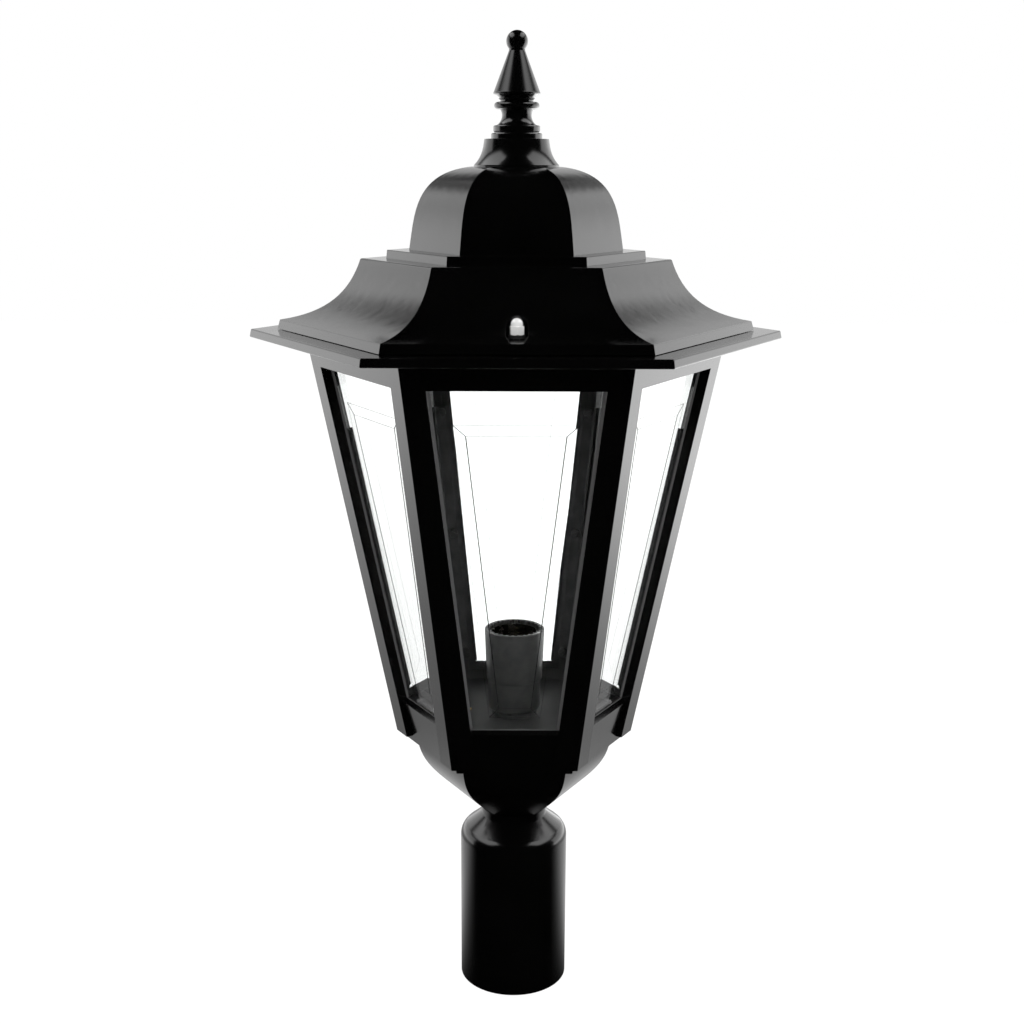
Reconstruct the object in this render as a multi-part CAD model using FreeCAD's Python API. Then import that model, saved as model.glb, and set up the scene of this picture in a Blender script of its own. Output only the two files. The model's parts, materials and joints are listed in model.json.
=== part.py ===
import FreeCAD, Part
import math
import os

from FreeCAD import Rotation, Vector

# Victorian street lantern for a round post, in millimetres.
# The origin is the bottom centre of the post socket, +Z is up and the front pane faces -Y.
# A radius of a six-sided piece is measured to its corners, which point along +X and -X.

# Post socket
POST_DIAMETER = 60.0
POST_CLEARANCE = 0.4
SOCKET_OUTER_DIAMETER = 66.0
SOCKET_STRAIGHT_HEIGHT = 98.0
SOCKET_CONE_HEIGHT = 10.4
SOCKET_NECK_HEIGHT = 4.9
SOCKET_NECK_RADIUS = 20.0
SOCKET_SHOULDER_ROUND = 9.0
SOCKET_POST_DEPTH = 86.0
SOCKET_WEB = 4.0
SOCKET_CHAMBER_RADIUS = 15.5
SOCKET_STOP_WIDTH = 4.0
GRUB_SCREW_DIAMETER = 6.0
GRUB_SCREW_LENGTH = 5.0
GRUB_SCREW_HEIGHT = 26.0
GRUB_SCREW_AZIMUTHS = (45.0, 135.0)
GRUB_SOCKET_ACROSS_FLATS = 3.0
GRUB_SOCKET_DEPTH = 2.0
GRUB_SCREW_BACK = 0.2

# Stem that clamps the socket to the bowl
STEM_DIAMETER = 16.0
STEM_BORE = 12.0
STEM_OVERHANG = 2.0
STEM_NUT_ACROSS_FLATS = 22.0
STEM_NUT_THICKNESS = 4.5
STEM_WASHER_DIAMETER = 25.0
STEM_WASHER_THICKNESS = 1.2

# Bowl under the cage
BOWL_TOP_RADIUS = 59.6
BOWL_FOOT_RADIUS = 20.8
BOWL_CURVE_HEIGHT = 42.7
BOWL_COLLAR_HEIGHT = 16.0
BOWL_WALL = 3.0
BOWL_BEND = ((0.074, 0.365), (0.268, 0.520))
BOWL_BOSS_RADIUS = 5.0
BOWL_BOSS_HEIGHT = 20.0
BOWL_SCREW_RADIUS = 43.5
BOWL_SCREW_DIAMETER = 5.0
BOWL_SCREW_LENGTH = 14.0
BOWL_SCREW_AZIMUTHS = (30.0, 150.0, 270.0)
BOWL_SCREW_CLEARANCE = 0.25

# Cage: six posts, aprons, sills, floor and eaves plate in one casting
CAGE_FOOT_MARGIN = 12.6
CAGE_TOP_RADIUS = 121.3
CAGE_HEIGHT = 241.5
CAGE_WALL = 6.5
CAGE_FOOT_OVERLAP = 9.6
CAGE_FLOOR_THICKNESS = 3.0
APRON_DROP = 3.7
APRON_RECESS_TOP = 2.6
APRON_RECESS_FOOT = 3.9
SILL_HEIGHT = 22.4
SILL_RISE = 2.3
TOP_RAIL_HEIGHT = 15.7
POST_FACE_TOP = 12.5
POST_FACE_FOOT = 13.6
EAVES_FOOT_RADIUS = 153.9
EAVES_TOP_RADIUS = 152.9
EAVES_THICKNESS = 4.8
EAVES_EDGE_ROUND = 0.8
EAVES_OPENING_GAP = 4.8
POST_RIDGE_ROUND = 0.7

# Panes
GLASS_THICKNESS = 3.2
GLASS_RELIEF = 0.3
GLASS_BEDDING = 0.3
GLASS_SIDE_LAP = 4.4
GLASS_END_LAP = 5.0
BEVEL_OUTER_SIDE = 11.3
BEVEL_OUTER_TOP = 19.5
BEVEL_OUTER_FOOT = 7.5
BEVEL_WIDTH = 6.0

# Corner strips that hold the panes
CLIP_THICKNESS = 1.2
CLIP_FLAT = 6.4
CLIP_WING = 2.2
CLIP_GAP = 0.2
CLIP_FOOT_GAP = 3.0
CLIP_TOP_GAP = 38.0
CLIP_SCREW_INSET = 4.0
CLIP_SCREWS = 3
CLIP_SCREW_DIAMETER = 3.0
CLIP_SCREW_GRIP = 4.0

# Roof
ROOF_SEAT_GAP = 0.3
ROOF_WALL = 3.0
RIM_FOOT_RADIUS = 137.4
RIM_TOP_RADIUS = 135.9
RIM_HEIGHT = 5.1
RIM_EDGE_ROUND = 0.6
RIM_LEDGE = 16.0
COVE_TOP_RADIUS = 88.8
COVE_HEIGHT = 35.0
COVE_BEND = ((0.422, 0.087), (0.827, 0.294))
COVE_EDGE_ROUND = 1.2
SLAB_FOOT_RADIUS = 74.2
SLAB_TOP_RADIUS = 73.6
SLAB_HEIGHT = 4.8
SLAB_EDGE_ROUND = 0.5
DOME_FOOT_RADIUS = 61.0
DOME_TOP_RADIUS = 25.0
DOME_HEIGHT = 46.3
DOME_BEND = ((0.088, 0.410), (0.080, 0.930))
NECK_FOOT_RADIUS = 24.0
NECK_TOP_RADIUS = 18.1
NECK_FOOT_HEIGHT = 0.8
NECK_HEIGHT = 14.2
NECK_BEND = ((0.949, 0.396), (0.898, 0.847))
NECK_WEB = 4.0

# Roof gasket
GASKET_WIDTH = 3.5
GASKET_THICKNESS = 1.8
GASKET_INSET = 9.5
GASKET_SLACK = 0.1

# Studs, dome nuts and washers that hold the roof down
STUD_DIAMETER = 4.0
STUD_HOLE_CLEARANCE = 0.25
STUD_INSET = 23.0
STUD_AZIMUTHS = (270.0, 30.0, 150.0)
STUD_BOSS_RADIUS = 5.5
STUD_BOSS_HEIGHT = 8.0
ROOF_BOSS_WALL = 2.5
POCKET_RADIUS = 5.7
POCKET_FLOOR = 0.5
POCKET_SLOT_WIDTH = 6.8
POCKET_SLOT_FLOOR = 0.2
DOME_NUT_ACROSS_FLATS = 7.0
DOME_NUT_HEX_HEIGHT = 4.6
DOME_NUT_HEIGHT = 8.6
DOME_NUT_CAP_DIAMETER = 6.3
DOME_NUT_BORE_DEPTH = 6.4
DOME_NUT_TWIST = 8.0
DOME_WASHER_DIAMETER = 9.0
DOME_WASHER_THICKNESS = 1.8
THREAD_CLEARANCE = 0.1

# Finial and its fixing
FINIAL_FLANGE_RADIUS = 14.3
FINIAL_FLANGE_HEIGHT = 3.2
FINIAL_DISC_RADIUS = 13.1
FINIAL_DISC_HEIGHT = 3.6
FINIAL_WAIST_RADIUS = 8.3
FINIAL_WAIST_HEIGHT = 8.8
FINIAL_BEAD_RADIUS = 12.6
FINIAL_BEAD_HEIGHT = 3.9
FINIAL_COLLAR_RADIUS = 10.2
FINIAL_COLLAR_HEIGHT = 1.2
FINIAL_GROOVE = 1.0
FINIAL_LIP_RADIUS = 13.1
FINIAL_LIP_HEIGHT = 3.1
FINIAL_CONE_HEIGHT = 22.0
FINIAL_TIP_RADIUS = 4.5
FINIAL_BALL_RADIUS = 6.0
FINIAL_EDGE_ROUND = 0.5
FINIAL_STUD_DIAMETER = 8.0
FINIAL_STUD_DEPTH = 12.0
FINIAL_NUT_ACROSS_FLATS = 13.0
FINIAL_NUT_THICKNESS = 5.0
FINIAL_WASHER_DIAMETER = 17.0
FINIAL_WASHER_THICKNESS = 1.4

# Lampholder for a screw lamp
LAMP_THREAD_DIAMETER = 26.6
SHELL_THICKNESS = 0.5
SHELL_HEIGHT = 20.0
SKIRT_DIAMETER = 35.2
SKIRT_HEIGHT = 31.5
SKIRT_WALL = 2.4
RIM_TEETH = 22
RIM_TOOTH_DEPTH = 0.9
RIM_TOOTH_HEIGHT = 2.2
HOLDER_BODY_DIAMETER = 31.0
HOLDER_BODY_HEIGHT = 22.0
HOLDER_FOOT_DIAMETER = 27.2
HOLDER_FOOT_HEIGHT = 3.0
HOLDER_BODY_WALL = 2.5
CARRIER_THICKNESS = 7.0
CARRIER_CLEARANCE = 0.2
CONTACT_WIDTH = 5.0
CONTACT_THICKNESS = 0.6
CONTACT_RISE = 3.0
CONTACT_DEPTH = 3.8
CONTACT_WELL_RADIUS = 10.0
HOLDER_SCREW_DIAMETER = 3.0
HOLDER_SCREW_SPACING = 16.0
HOLDER_STEM_DIAMETER = 10.0
HOLDER_STEM_BORE = 7.0
HOLDER_STEM_LENGTH = 14.0
HOLDER_NUT_ACROSS_FLATS = 14.0
HOLDER_NUT_THICKNESS = 3.0

# Supply terminals under the cage floor
BLOCK_LENGTH = 30.0
BLOCK_WIDTH = 15.0
BLOCK_HEIGHT = 13.0
BLOCK_OFFSET = 27.0
BLOCK_POLES = 3
BLOCK_WIRE_HOLE = 3.6
BLOCK_SCREW_DIAMETER = 3.0
TERMINAL_SCREW_DIAMETER = 3.5
TERMINAL_SCREW_LENGTH = 4.5
EARTH_SCREW_DIAMETER = 4.0
EARTH_SCREW_LENGTH = 8.0
EARTH_SCREW_PLACE = (-28.0, 4.0)
EARTH_WASHER_DIAMETER = 9.0
EARTH_WASHER_THICKNESS = 0.8

# Angles and levels that follow from the sizes
SIDES = 6
TURN = 360.0 / SIDES
HALF_TURN = math.radians(TURN / 2)
COS_HALF = math.cos(HALF_TURN)
FACES = [TURN * (i + 0.5) for i in range(SIDES)]
CORNERS = [TURN * i for i in range(SIDES)]
UP = Vector(0, 0, 1)

SOCKET_TOP = SOCKET_STRAIGHT_HEIGHT + SOCKET_CONE_HEIGHT + SOCKET_NECK_HEIGHT
BOWL_SHOULDER = SOCKET_TOP + BOWL_CURVE_HEIGHT
BOWL_TOP = BOWL_SHOULDER + BOWL_COLLAR_HEIGHT
FLOOR_TOP = BOWL_TOP + CAGE_FLOOR_THICKNESS
CAGE_FOOT = BOWL_TOP - CAGE_FOOT_OVERLAP
CAGE_TOP = CAGE_FOOT + CAGE_HEIGHT
APRON_FOOT = CAGE_FOOT - APRON_DROP
SILL = CAGE_FOOT + SILL_HEIGHT
WINDOW_FOOT = SILL + SILL_RISE
WINDOW_TOP = CAGE_TOP - TOP_RAIL_HEIGHT
EAVES_TOP = CAGE_TOP + EAVES_THICKNESS
ROOF_FOOT = EAVES_TOP + ROOF_SEAT_GAP
RIM_TOP = ROOF_FOOT + RIM_HEIGHT
COVE_TOP = RIM_TOP + COVE_HEIGHT
SLAB_TOP = COVE_TOP + SLAB_HEIGHT
DOME_TOP = SLAB_TOP + DOME_HEIGHT
NECK_TOP = DOME_TOP + NECK_FOOT_HEIGHT + NECK_HEIGHT
CLIP_FOOT = WINDOW_FOOT + CLIP_FOOT_GAP
CLIP_TOP = WINDOW_TOP - CLIP_TOP_GAP
CAGE_FOOT_RADIUS = BOWL_TOP_RADIUS + CAGE_FOOT_MARGIN
CAGE_FLARE = (CAGE_TOP_RADIUS - CAGE_FOOT_RADIUS) / CAGE_HEIGHT
FACE_LEAN = math.atan(CAGE_FLARE * COS_HALF)
CORNER_LEAN = math.atan(CAGE_FLARE)
STUD_DISTANCE = RIM_FOOT_RADIUS * COS_HALF - STUD_INSET
EAVES_OPENING_RADIUS = (STUD_DISTANCE - STUD_BOSS_RADIUS - EAVES_OPENING_GAP) / COS_HALF


# Outlines and simple solids


def at(radius, height):
    """A point of an outline that stands on the XZ plane."""
    return Vector(radius, 0, height)


def line(start, end):
    return Part.LineSegment(start, end).toShape()


def bend(start, end, handles):
    """A smooth curve from start to end; each handle is a share of the run and of the rise."""
    run, rise = end.x - start.x, end.z - start.z
    poles = [at(start.x + run * share, start.z + rise * lift) for share, lift in handles]
    curve = Part.BezierCurve()
    curve.setPoles([start] + poles + [end])
    return curve.toShape()


def arc(start, middle, end):
    return Part.Arc(start, middle, end).toShape()


def outline(*steps):
    """A list of edges from points and ready edges, joined by straight lines where they don't meet."""
    edges = []
    pen = None
    for step in steps:
        if isinstance(step, Vector):
            if pen is not None and pen.distanceToPoint(step) > 1e-6:
                edges.append(line(pen, step))
            pen = step
            continue
        first, last = step.valueAt(step.FirstParameter), step.valueAt(step.LastParameter)
        if pen is not None and pen.distanceToPoint(first) > 1e-6:
            edges.append(line(pen, first))
        edges.append(step)
        pen = last
    return edges


def shifted(edge, run, rise):
    moved = edge.copy()
    moved.translate(Vector(run, 0, rise))
    return moved


def face_of(edges):
    return Part.Face(Part.Wire(Part.__sortEdges__(edges)))


def turned(*steps):
    """A round solid from half an outline that starts and ends on the axis."""
    edges = outline(*steps)
    start, end = edges[0].valueAt(edges[0].FirstParameter), edges[-1].valueAt(edges[-1].LastParameter)
    edges.append(line(end, start))
    return face_of(edges).revolve(Vector(0, 0, 0), UP, 360)


def ring(outer, inner, foot, top):
    return turned_ring(at(inner, foot), at(outer, foot), at(outer, top), at(inner, top))


def turned_ring(*steps):
    """A round solid with a hole, from a closed outline beside the axis."""
    edges = outline(*steps, steps[0])
    return face_of(edges).revolve(Vector(0, 0, 0), UP, 360)


def mid(radius, height):
    """A point of a six-sided outline, which is drawn at the middle of a face, from its corner radius."""
    return at(radius * COS_HALF, height)


def six_sided(*steps):
    """A six-sided solid whose faces all follow one outline that starts and ends on the axis.

    The outline's mirror image closes it, and the solid is what three crossing extrusions share.
    """
    half = outline(*steps)
    other = [edge.mirror(Vector(0, 0, 0), Vector(1, 0, 0)) for edge in half]
    reach = max(edge.BoundBox.XMax for edge in half) * 2
    slab = face_of(half + other)
    slab.translate(Vector(0, -reach, 0))
    slab = slab.extrude(Vector(0, 2 * reach, 0))
    crossing = [rotated(slab, azimuth) for azimuth in FACES[:SIDES // 2]]
    return one_solid(crossing[0].common(crossing[1]).common(crossing[2]))


def frustum(foot_radius, top_radius, foot, top):
    return six_sided(at(0, foot), mid(foot_radius, foot), mid(top_radius, top), at(0, top))


def prism(radius, foot, top):
    return frustum(radius, radius, foot, top)


def rotated(shape, azimuth):
    copy = shape.copy()
    copy.rotate(Vector(0, 0, 0), UP, azimuth)
    return copy


def from_front(shape, azimuth):
    """A shape made for the front, copied to another azimuth."""
    return rotated(shape, azimuth - 270.0)


def one_solid(shape):
    """The cleaned shape, as one solid where it has just one."""
    shape = shape.removeSplitter()
    return shape.Solids[0] if len(shape.Solids) == 1 else shape


def polygon_bar(points, direction):
    return Part.Face(Part.makePolygon(points + points[:1])).extrude(direction)


def hexagon_bar(across_flats, foot, top):
    """A hexagonal bar on the Z axis with two corners on the X axis."""
    points = [place(across_flats / 2 / COS_HALF, azimuth, foot) for azimuth in CORNERS]
    return polygon_bar(points, Vector(0, 0, top - foot))


def rod(radius, foot, top, x=0.0, y=0.0):
    return Part.makeCylinder(radius, top - foot, Vector(x, y, foot))


def place(radius, azimuth, height=0.0):
    turn = math.radians(azimuth)
    return Vector(radius * math.cos(turn), radius * math.sin(turn), height)


def moved(shape, offset):
    copy = shape.copy()
    copy.translate(offset)
    return copy


def nut_blank(across_flats, foot, top):
    """A hexagon with its corners turned off at both faces."""
    corner = across_flats / 2 / COS_HALF
    bevel = (corner - across_flats / 2) * 1.2
    blank = turned(
        at(0, foot), at(corner - bevel, foot), at(corner, foot + bevel * 0.6),
        at(corner, top - bevel * 0.6), at(corner - bevel, top), at(0, top))
    return hexagon_bar(across_flats, foot, top).common(blank)


def chamfered_nut(across_flats, foot, top, bore):
    return nut_blank(across_flats, foot, top).cut(rod(bore, foot - 1, top + 1))


def pan_screw(diameter, length):
    """A slotted screw that points down, with the underside of its head at height 0."""
    head_radius, head_height = diameter, diameter * 0.6
    soft = head_height * 0.4
    screw = turned(
        at(0, -length), at(diameter / 2, -length), at(diameter / 2, 0), at(head_radius, 0),
        at(head_radius, head_height - soft), at(head_radius - soft, head_height), at(0, head_height))
    slot = Part.makeBox(head_radius * 3, diameter * 0.22, head_height)
    return screw.cut(moved(slot, Vector(-head_radius * 1.5, -diameter * 0.11, head_height * 0.5)))


# The lean of the cage


def cage_radius(height):
    """Corner radius of the outside of the cage."""
    return CAGE_FOOT_RADIUS + CAGE_FLARE * (height - CAGE_FOOT)


def inset_radius(height, inset):
    """Corner radius of a plane set behind the outside of the cage by inset, square to its face."""
    return cage_radius(height) - inset / math.cos(FACE_LEAN) / COS_HALF


def cage_core(inset, foot, top):
    """The solid inside the cage's leaning planes, set in by inset."""
    return frustum(inset_radius(foot, inset), inset_radius(top, inset), foot, top)


def post_face(height):
    """Width of one post on one face of the cage."""
    share = (height - WINDOW_FOOT) / (WINDOW_TOP - WINDOW_FOOT)
    return POST_FACE_FOOT + share * (POST_FACE_TOP - POST_FACE_FOOT)


def window_half(height):
    return cage_radius(height) / 2 - post_face(height)


def face_frame(shape, inset):
    """A shape drawn flat, width along X and height along Z from the foot of the cage, set on the front face."""
    drawn = shape.copy()
    foot = Vector(0, -inset_radius(CAGE_FOOT, inset) * COS_HALF, CAGE_FOOT)
    drawn.rotate(Vector(0, 0, 0), Vector(1, 0, 0), math.degrees(FACE_LEAN))
    drawn.translate(foot)
    return drawn


def along_face(height):
    """Distance up the leaning face for a height."""
    return (height - CAGE_FOOT) / math.cos(FACE_LEAN)


# Post socket, stem and bowl


def post_socket():
    outer = SOCKET_OUTER_DIAMETER / 2
    bore = POST_DIAMETER / 2 + POST_CLEARANCE
    cone_foot = at(outer, SOCKET_STRAIGHT_HEIGHT)
    cone_top = at(SOCKET_NECK_RADIUS, SOCKET_STRAIGHT_HEIGHT + SOCKET_CONE_HEIGHT)
    body = turned(at(0, 0), at(outer, 0), cone_foot, cone_top, at(SOCKET_NECK_RADIUS, SOCKET_TOP), at(0, SOCKET_TOP))
    shoulder = [edge for edge in body.Edges if circle_at(edge, outer, SOCKET_STRAIGHT_HEIGHT)]
    body = body.makeFillet(SOCKET_SHOULDER_ROUND, shoulder)
    chamber_top = SOCKET_TOP - SOCKET_WEB
    stop = bore - SOCKET_STOP_WIDTH
    taper = (stop - SOCKET_CHAMBER_RADIUS) * SOCKET_CONE_HEIGHT / (outer - SOCKET_NECK_RADIUS)
    hollow = turned(
        at(0, -1), at(bore, -1), at(bore, SOCKET_POST_DEPTH), at(stop, SOCKET_POST_DEPTH),
        at(SOCKET_CHAMBER_RADIUS, SOCKET_POST_DEPTH + taper), at(SOCKET_CHAMBER_RADIUS, chamber_top), at(0, chamber_top))
    body = body.cut(hollow).cut(rod(STEM_DIAMETER / 2 + THREAD_CLEARANCE, chamber_top - 1, SOCKET_TOP + 1))
    for azimuth in GRUB_SCREW_AZIMUTHS:
        hole = Part.makeCylinder(
            GRUB_SCREW_DIAMETER / 2, outer, place(bore / 2, azimuth, GRUB_SCREW_HEIGHT), place(1, azimuth))
        body = body.cut(hole)
    return one_solid(body)


def circle_at(edge, radius, height):
    """True for a round edge of this radius at this height."""
    curve = edge.Curve
    return (isinstance(curve, Part.Circle) and abs(curve.Radius - radius) < 1e-4
            and abs(curve.Center.z - height) < 1e-4)


def grub_screws():
    """Cup-point grub screws, backed off so that the post can enter."""
    inner = POST_DIAMETER / 2 + POST_CLEARANCE + GRUB_SCREW_BACK
    screws = []
    for azimuth in GRUB_SCREW_AZIMUTHS:
        axis = place(1, azimuth)
        start = place(inner, azimuth, GRUB_SCREW_HEIGHT)
        screw = Part.makeCylinder(GRUB_SCREW_DIAMETER / 2 - THREAD_CLEARANCE / 2, GRUB_SCREW_LENGTH, start, axis)
        key = hexagon_bar(GRUB_SOCKET_ACROSS_FLATS, 0, GRUB_SOCKET_DEPTH + 1)
        key.Placement = FreeCAD.Placement(start + axis * (GRUB_SCREW_LENGTH - GRUB_SOCKET_DEPTH), Rotation(UP, axis))
        screws.append(screw.cut(key))
    return Part.makeCompound(screws)


def stem_stack():
    """Heights of the stem's washers and nuts: below the socket's web and above the bowl's floor."""
    under_web = SOCKET_TOP - SOCKET_WEB
    over_floor = SOCKET_TOP + BOWL_WALL
    washers = [(under_web - STEM_WASHER_THICKNESS, under_web), (over_floor, over_floor + STEM_WASHER_THICKNESS)]
    nuts = [(washers[0][0] - STEM_NUT_THICKNESS, washers[0][0]), (washers[1][1], washers[1][1] + STEM_NUT_THICKNESS)]
    return washers, nuts


def stem():
    nuts = stem_stack()[1]
    return ring(STEM_DIAMETER / 2, STEM_BORE / 2, nuts[0][0] - STEM_OVERHANG, nuts[1][1] + STEM_OVERHANG)


def stem_nuts():
    bore = STEM_DIAMETER / 2 + THREAD_CLEARANCE / 2
    return Part.makeCompound([chamfered_nut(STEM_NUT_ACROSS_FLATS, foot, top, bore) for foot, top in stem_stack()[1]])


def stem_washers():
    bore = STEM_DIAMETER / 2 + THREAD_CLEARANCE
    return Part.makeCompound([ring(STEM_WASHER_DIAMETER / 2, bore, foot, top) for foot, top in stem_stack()[0]])


def base_bowl():
    side = bend(mid(BOWL_TOP_RADIUS, BOWL_SHOULDER), mid(BOWL_FOOT_RADIUS, SOCKET_TOP), BOWL_BEND)
    body = six_sided(at(0, BOWL_TOP), mid(BOWL_TOP_RADIUS, BOWL_TOP), side, at(0, SOCKET_TOP))
    mouth = BOWL_TOP_RADIUS * COS_HALF - BOWL_WALL
    lining = shifted(side, -BOWL_WALL, BOWL_WALL)
    shell = body.cut(six_sided(
        at(0, BOWL_TOP + 1), at(mouth, BOWL_TOP + 1), lining, at(0, SOCKET_TOP + BOWL_WALL)))
    boss_foot = BOWL_TOP - BOWL_BOSS_HEIGHT
    rib_length = mouth + BOWL_WALL / 2 - BOWL_SCREW_RADIUS
    bosses, holes = [], []
    for azimuth in BOWL_SCREW_AZIMUTHS:
        spot = place(BOWL_SCREW_RADIUS, azimuth)
        boss = rod(BOWL_BOSS_RADIUS, boss_foot, BOWL_TOP, spot.x, spot.y)
        rib = Part.makeBox(rib_length, 2 * BOWL_BOSS_RADIUS, BOWL_BOSS_HEIGHT,
                           Vector(BOWL_SCREW_RADIUS, -BOWL_BOSS_RADIUS, boss_foot))
        bosses.append(boss.fuse(rotated(rib, azimuth)).common(body))
        holes.append(rod(BOWL_SCREW_DIAMETER / 2 + THREAD_CLEARANCE / 2, BOWL_TOP - BOWL_SCREW_LENGTH, BOWL_TOP + 1,
                         spot.x, spot.y))
    holes.append(rod(STEM_DIAMETER / 2 + THREAD_CLEARANCE, SOCKET_TOP - 1, SOCKET_TOP + BOWL_WALL + 1))
    return one_solid(shell.fuse(bosses).cut(holes))


def bowl_screws():
    screw = pan_screw(BOWL_SCREW_DIAMETER, BOWL_SCREW_LENGTH)
    return Part.makeCompound([moved(screw, place(BOWL_SCREW_RADIUS, azimuth, FLOOR_TOP))
                              for azimuth in BOWL_SCREW_AZIMUTHS])


# Cage casting


def window_cutter():
    """Cuts one face between its posts, from under the cage up to the top rail."""
    foot = CAGE_FOOT - 1
    points = []
    for height, side in ((foot, -1), (foot, 1), (WINDOW_TOP, 1), (WINDOW_TOP, -1)):
        points.append(Vector(side * window_half(height), -EAVES_TOP_RADIUS, height))
    depth = EAVES_TOP_RADIUS - CAGE_FOOT_RADIUS / 2
    return polygon_bar(points, Vector(0, depth, 0))


def apron_ring():
    """The six recessed aprons with their sloped sills, as one ring behind the posts."""
    hollow = cage_core(CAGE_WALL, APRON_FOOT - 1, CAGE_TOP)
    solid = six_sided(
        at(0, APRON_FOOT), mid(inset_radius(APRON_FOOT, APRON_RECESS_FOOT), APRON_FOOT),
        mid(inset_radius(SILL, APRON_RECESS_TOP), SILL), mid(inset_radius(WINDOW_FOOT, CAGE_WALL), WINDOW_FOOT),
        at(0, WINDOW_FOOT))
    return solid.cut(hollow)


def eaves_plate():
    plate = frustum(EAVES_FOOT_RADIUS, EAVES_TOP_RADIUS, CAGE_TOP, EAVES_TOP)
    plate = plate.makeFillet(EAVES_EDGE_ROUND, plate.Edges)
    return plate.cut(prism(EAVES_OPENING_RADIUS, CAGE_TOP - 1, EAVES_TOP + 1))


def cage_frame():
    outside = cage_core(0, CAGE_FOOT, CAGE_TOP)
    outside = outside.makeFillet(POST_RIDGE_ROUND, rising_edges(outside))
    shell = outside.cut(cage_core(CAGE_WALL, CAGE_FOOT - 1, CAGE_TOP + 1))
    shell = shell.cut([from_front(window_cutter(), azimuth) for azimuth in FACES])
    floor = cage_core(CAGE_WALL - 1, BOWL_TOP, FLOOR_TOP)
    bosses, holes = [], []
    for azimuth in STUD_AZIMUTHS:
        spot = place(STUD_DISTANCE, azimuth)
        bosses.append(rod(STUD_BOSS_RADIUS, CAGE_TOP - STUD_BOSS_HEIGHT, CAGE_TOP, spot.x, spot.y))
        holes.append(rod(STUD_DIAMETER / 2 + THREAD_CLEARANCE / 2, CAGE_TOP - STUD_BOSS_HEIGHT - 1, EAVES_TOP + 1,
                         spot.x, spot.y))
    floor_holes = [(HOLDER_STEM_DIAMETER / 2 + THREAD_CLEARANCE, 0, 0),
                   (BLOCK_SCREW_DIAMETER / 2 + THREAD_CLEARANCE, 0, BLOCK_OFFSET),
                   (EARTH_SCREW_DIAMETER / 2 + THREAD_CLEARANCE / 2, *EARTH_SCREW_PLACE)]
    for azimuth in BOWL_SCREW_AZIMUTHS:
        spot = place(BOWL_SCREW_RADIUS, azimuth)
        floor_holes.append((BOWL_SCREW_DIAMETER / 2 + BOWL_SCREW_CLEARANCE, spot.x, spot.y))
    for radius, x, y in floor_holes:
        holes.append(rod(radius, BOWL_TOP - 1, FLOOR_TOP + 1, x, y))
    for spot, axis in clip_spots():
        holes.append(Part.makeCylinder(CLIP_SCREW_DIAMETER / 2 + THREAD_CLEARANCE / 2, clip_screw_length() + 1, spot, axis))
    frame = shell.fuse([apron_ring(), floor, eaves_plate()] + bosses)
    return one_solid(frame.cut(holes))


# Panes and corner strips


def pane():
    """The front pane: a flat back, and a raised field with bevelled borders on the outside."""
    inner = CAGE_WALL + GLASS_BEDDING
    foot, top = WINDOW_FOOT - GLASS_END_LAP, WINDOW_TOP + GLASS_END_LAP

    def quad(low, high, margin, depth):
        points = []
        for height, side in ((low, -1), (low, 1), (high, 1), (high, -1)):
            points.append(Vector(side * (window_half(height) - margin), depth, along_face(height)))
        return Part.makePolygon(points + points[:1])

    slab = Part.Face(quad(foot, top, -GLASS_SIDE_LAP, 0)).extrude(Vector(0, GLASS_THICKNESS, 0))
    low, high = WINDOW_FOOT + BEVEL_OUTER_FOOT, WINDOW_TOP - BEVEL_OUTER_TOP
    border = quad(low, high, BEVEL_OUTER_SIDE, 0)
    field = quad(low + BEVEL_WIDTH, high - BEVEL_WIDTH, BEVEL_OUTER_SIDE + BEVEL_WIDTH, -GLASS_RELIEF)
    relief = Part.makeLoft([border, field], True, True)
    return face_frame(one_solid(slab.fuse(relief)), inner)


def clip_frame():
    """For each corner of the cage: direction square to the corner line, and the line itself."""
    frames = []
    for azimuth in CORNERS:
        outward = place(math.cos(CORNER_LEAN), azimuth, -math.sin(CORNER_LEAN))
        along = place(math.sin(CORNER_LEAN), azimuth, math.cos(CORNER_LEAN))
        frames.append((azimuth, outward, along))
    return frames


def corner_slope():
    """Angle between the corner's own plane and each of its two panes."""
    face_normal = place(math.cos(FACE_LEAN), TURN / 2, -math.sin(FACE_LEAN))
    corner_normal = place(math.cos(CORNER_LEAN), 0, -math.sin(CORNER_LEAN))
    return math.acos(face_normal.dot(corner_normal))


def clip_rest(height):
    """Radius where the backs of two neighbouring panes would meet, with the strip's gap taken off."""
    return inset_radius(height, CAGE_WALL + GLASS_BEDDING + GLASS_THICKNESS + CLIP_GAP)


def clip_back():
    """Distance from the corner where the panes' backs would meet to the back of its strip."""
    return CLIP_FLAT / 2 * math.tan(corner_slope()) + CLIP_THICKNESS


def clip_spots():
    """Where each screw's head bears on its strip, and the direction that the screw points."""
    spots = []
    reach = CLIP_TOP - CLIP_FOOT - 2 * CLIP_SCREW_INSET
    for azimuth, outward, _ in clip_frame():
        for index in range(CLIP_SCREWS):
            height = CLIP_FOOT + CLIP_SCREW_INSET + reach * index / (CLIP_SCREWS - 1)
            spots.append((place(clip_rest(height), azimuth, height) - outward * clip_back(), outward))
    return spots


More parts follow.
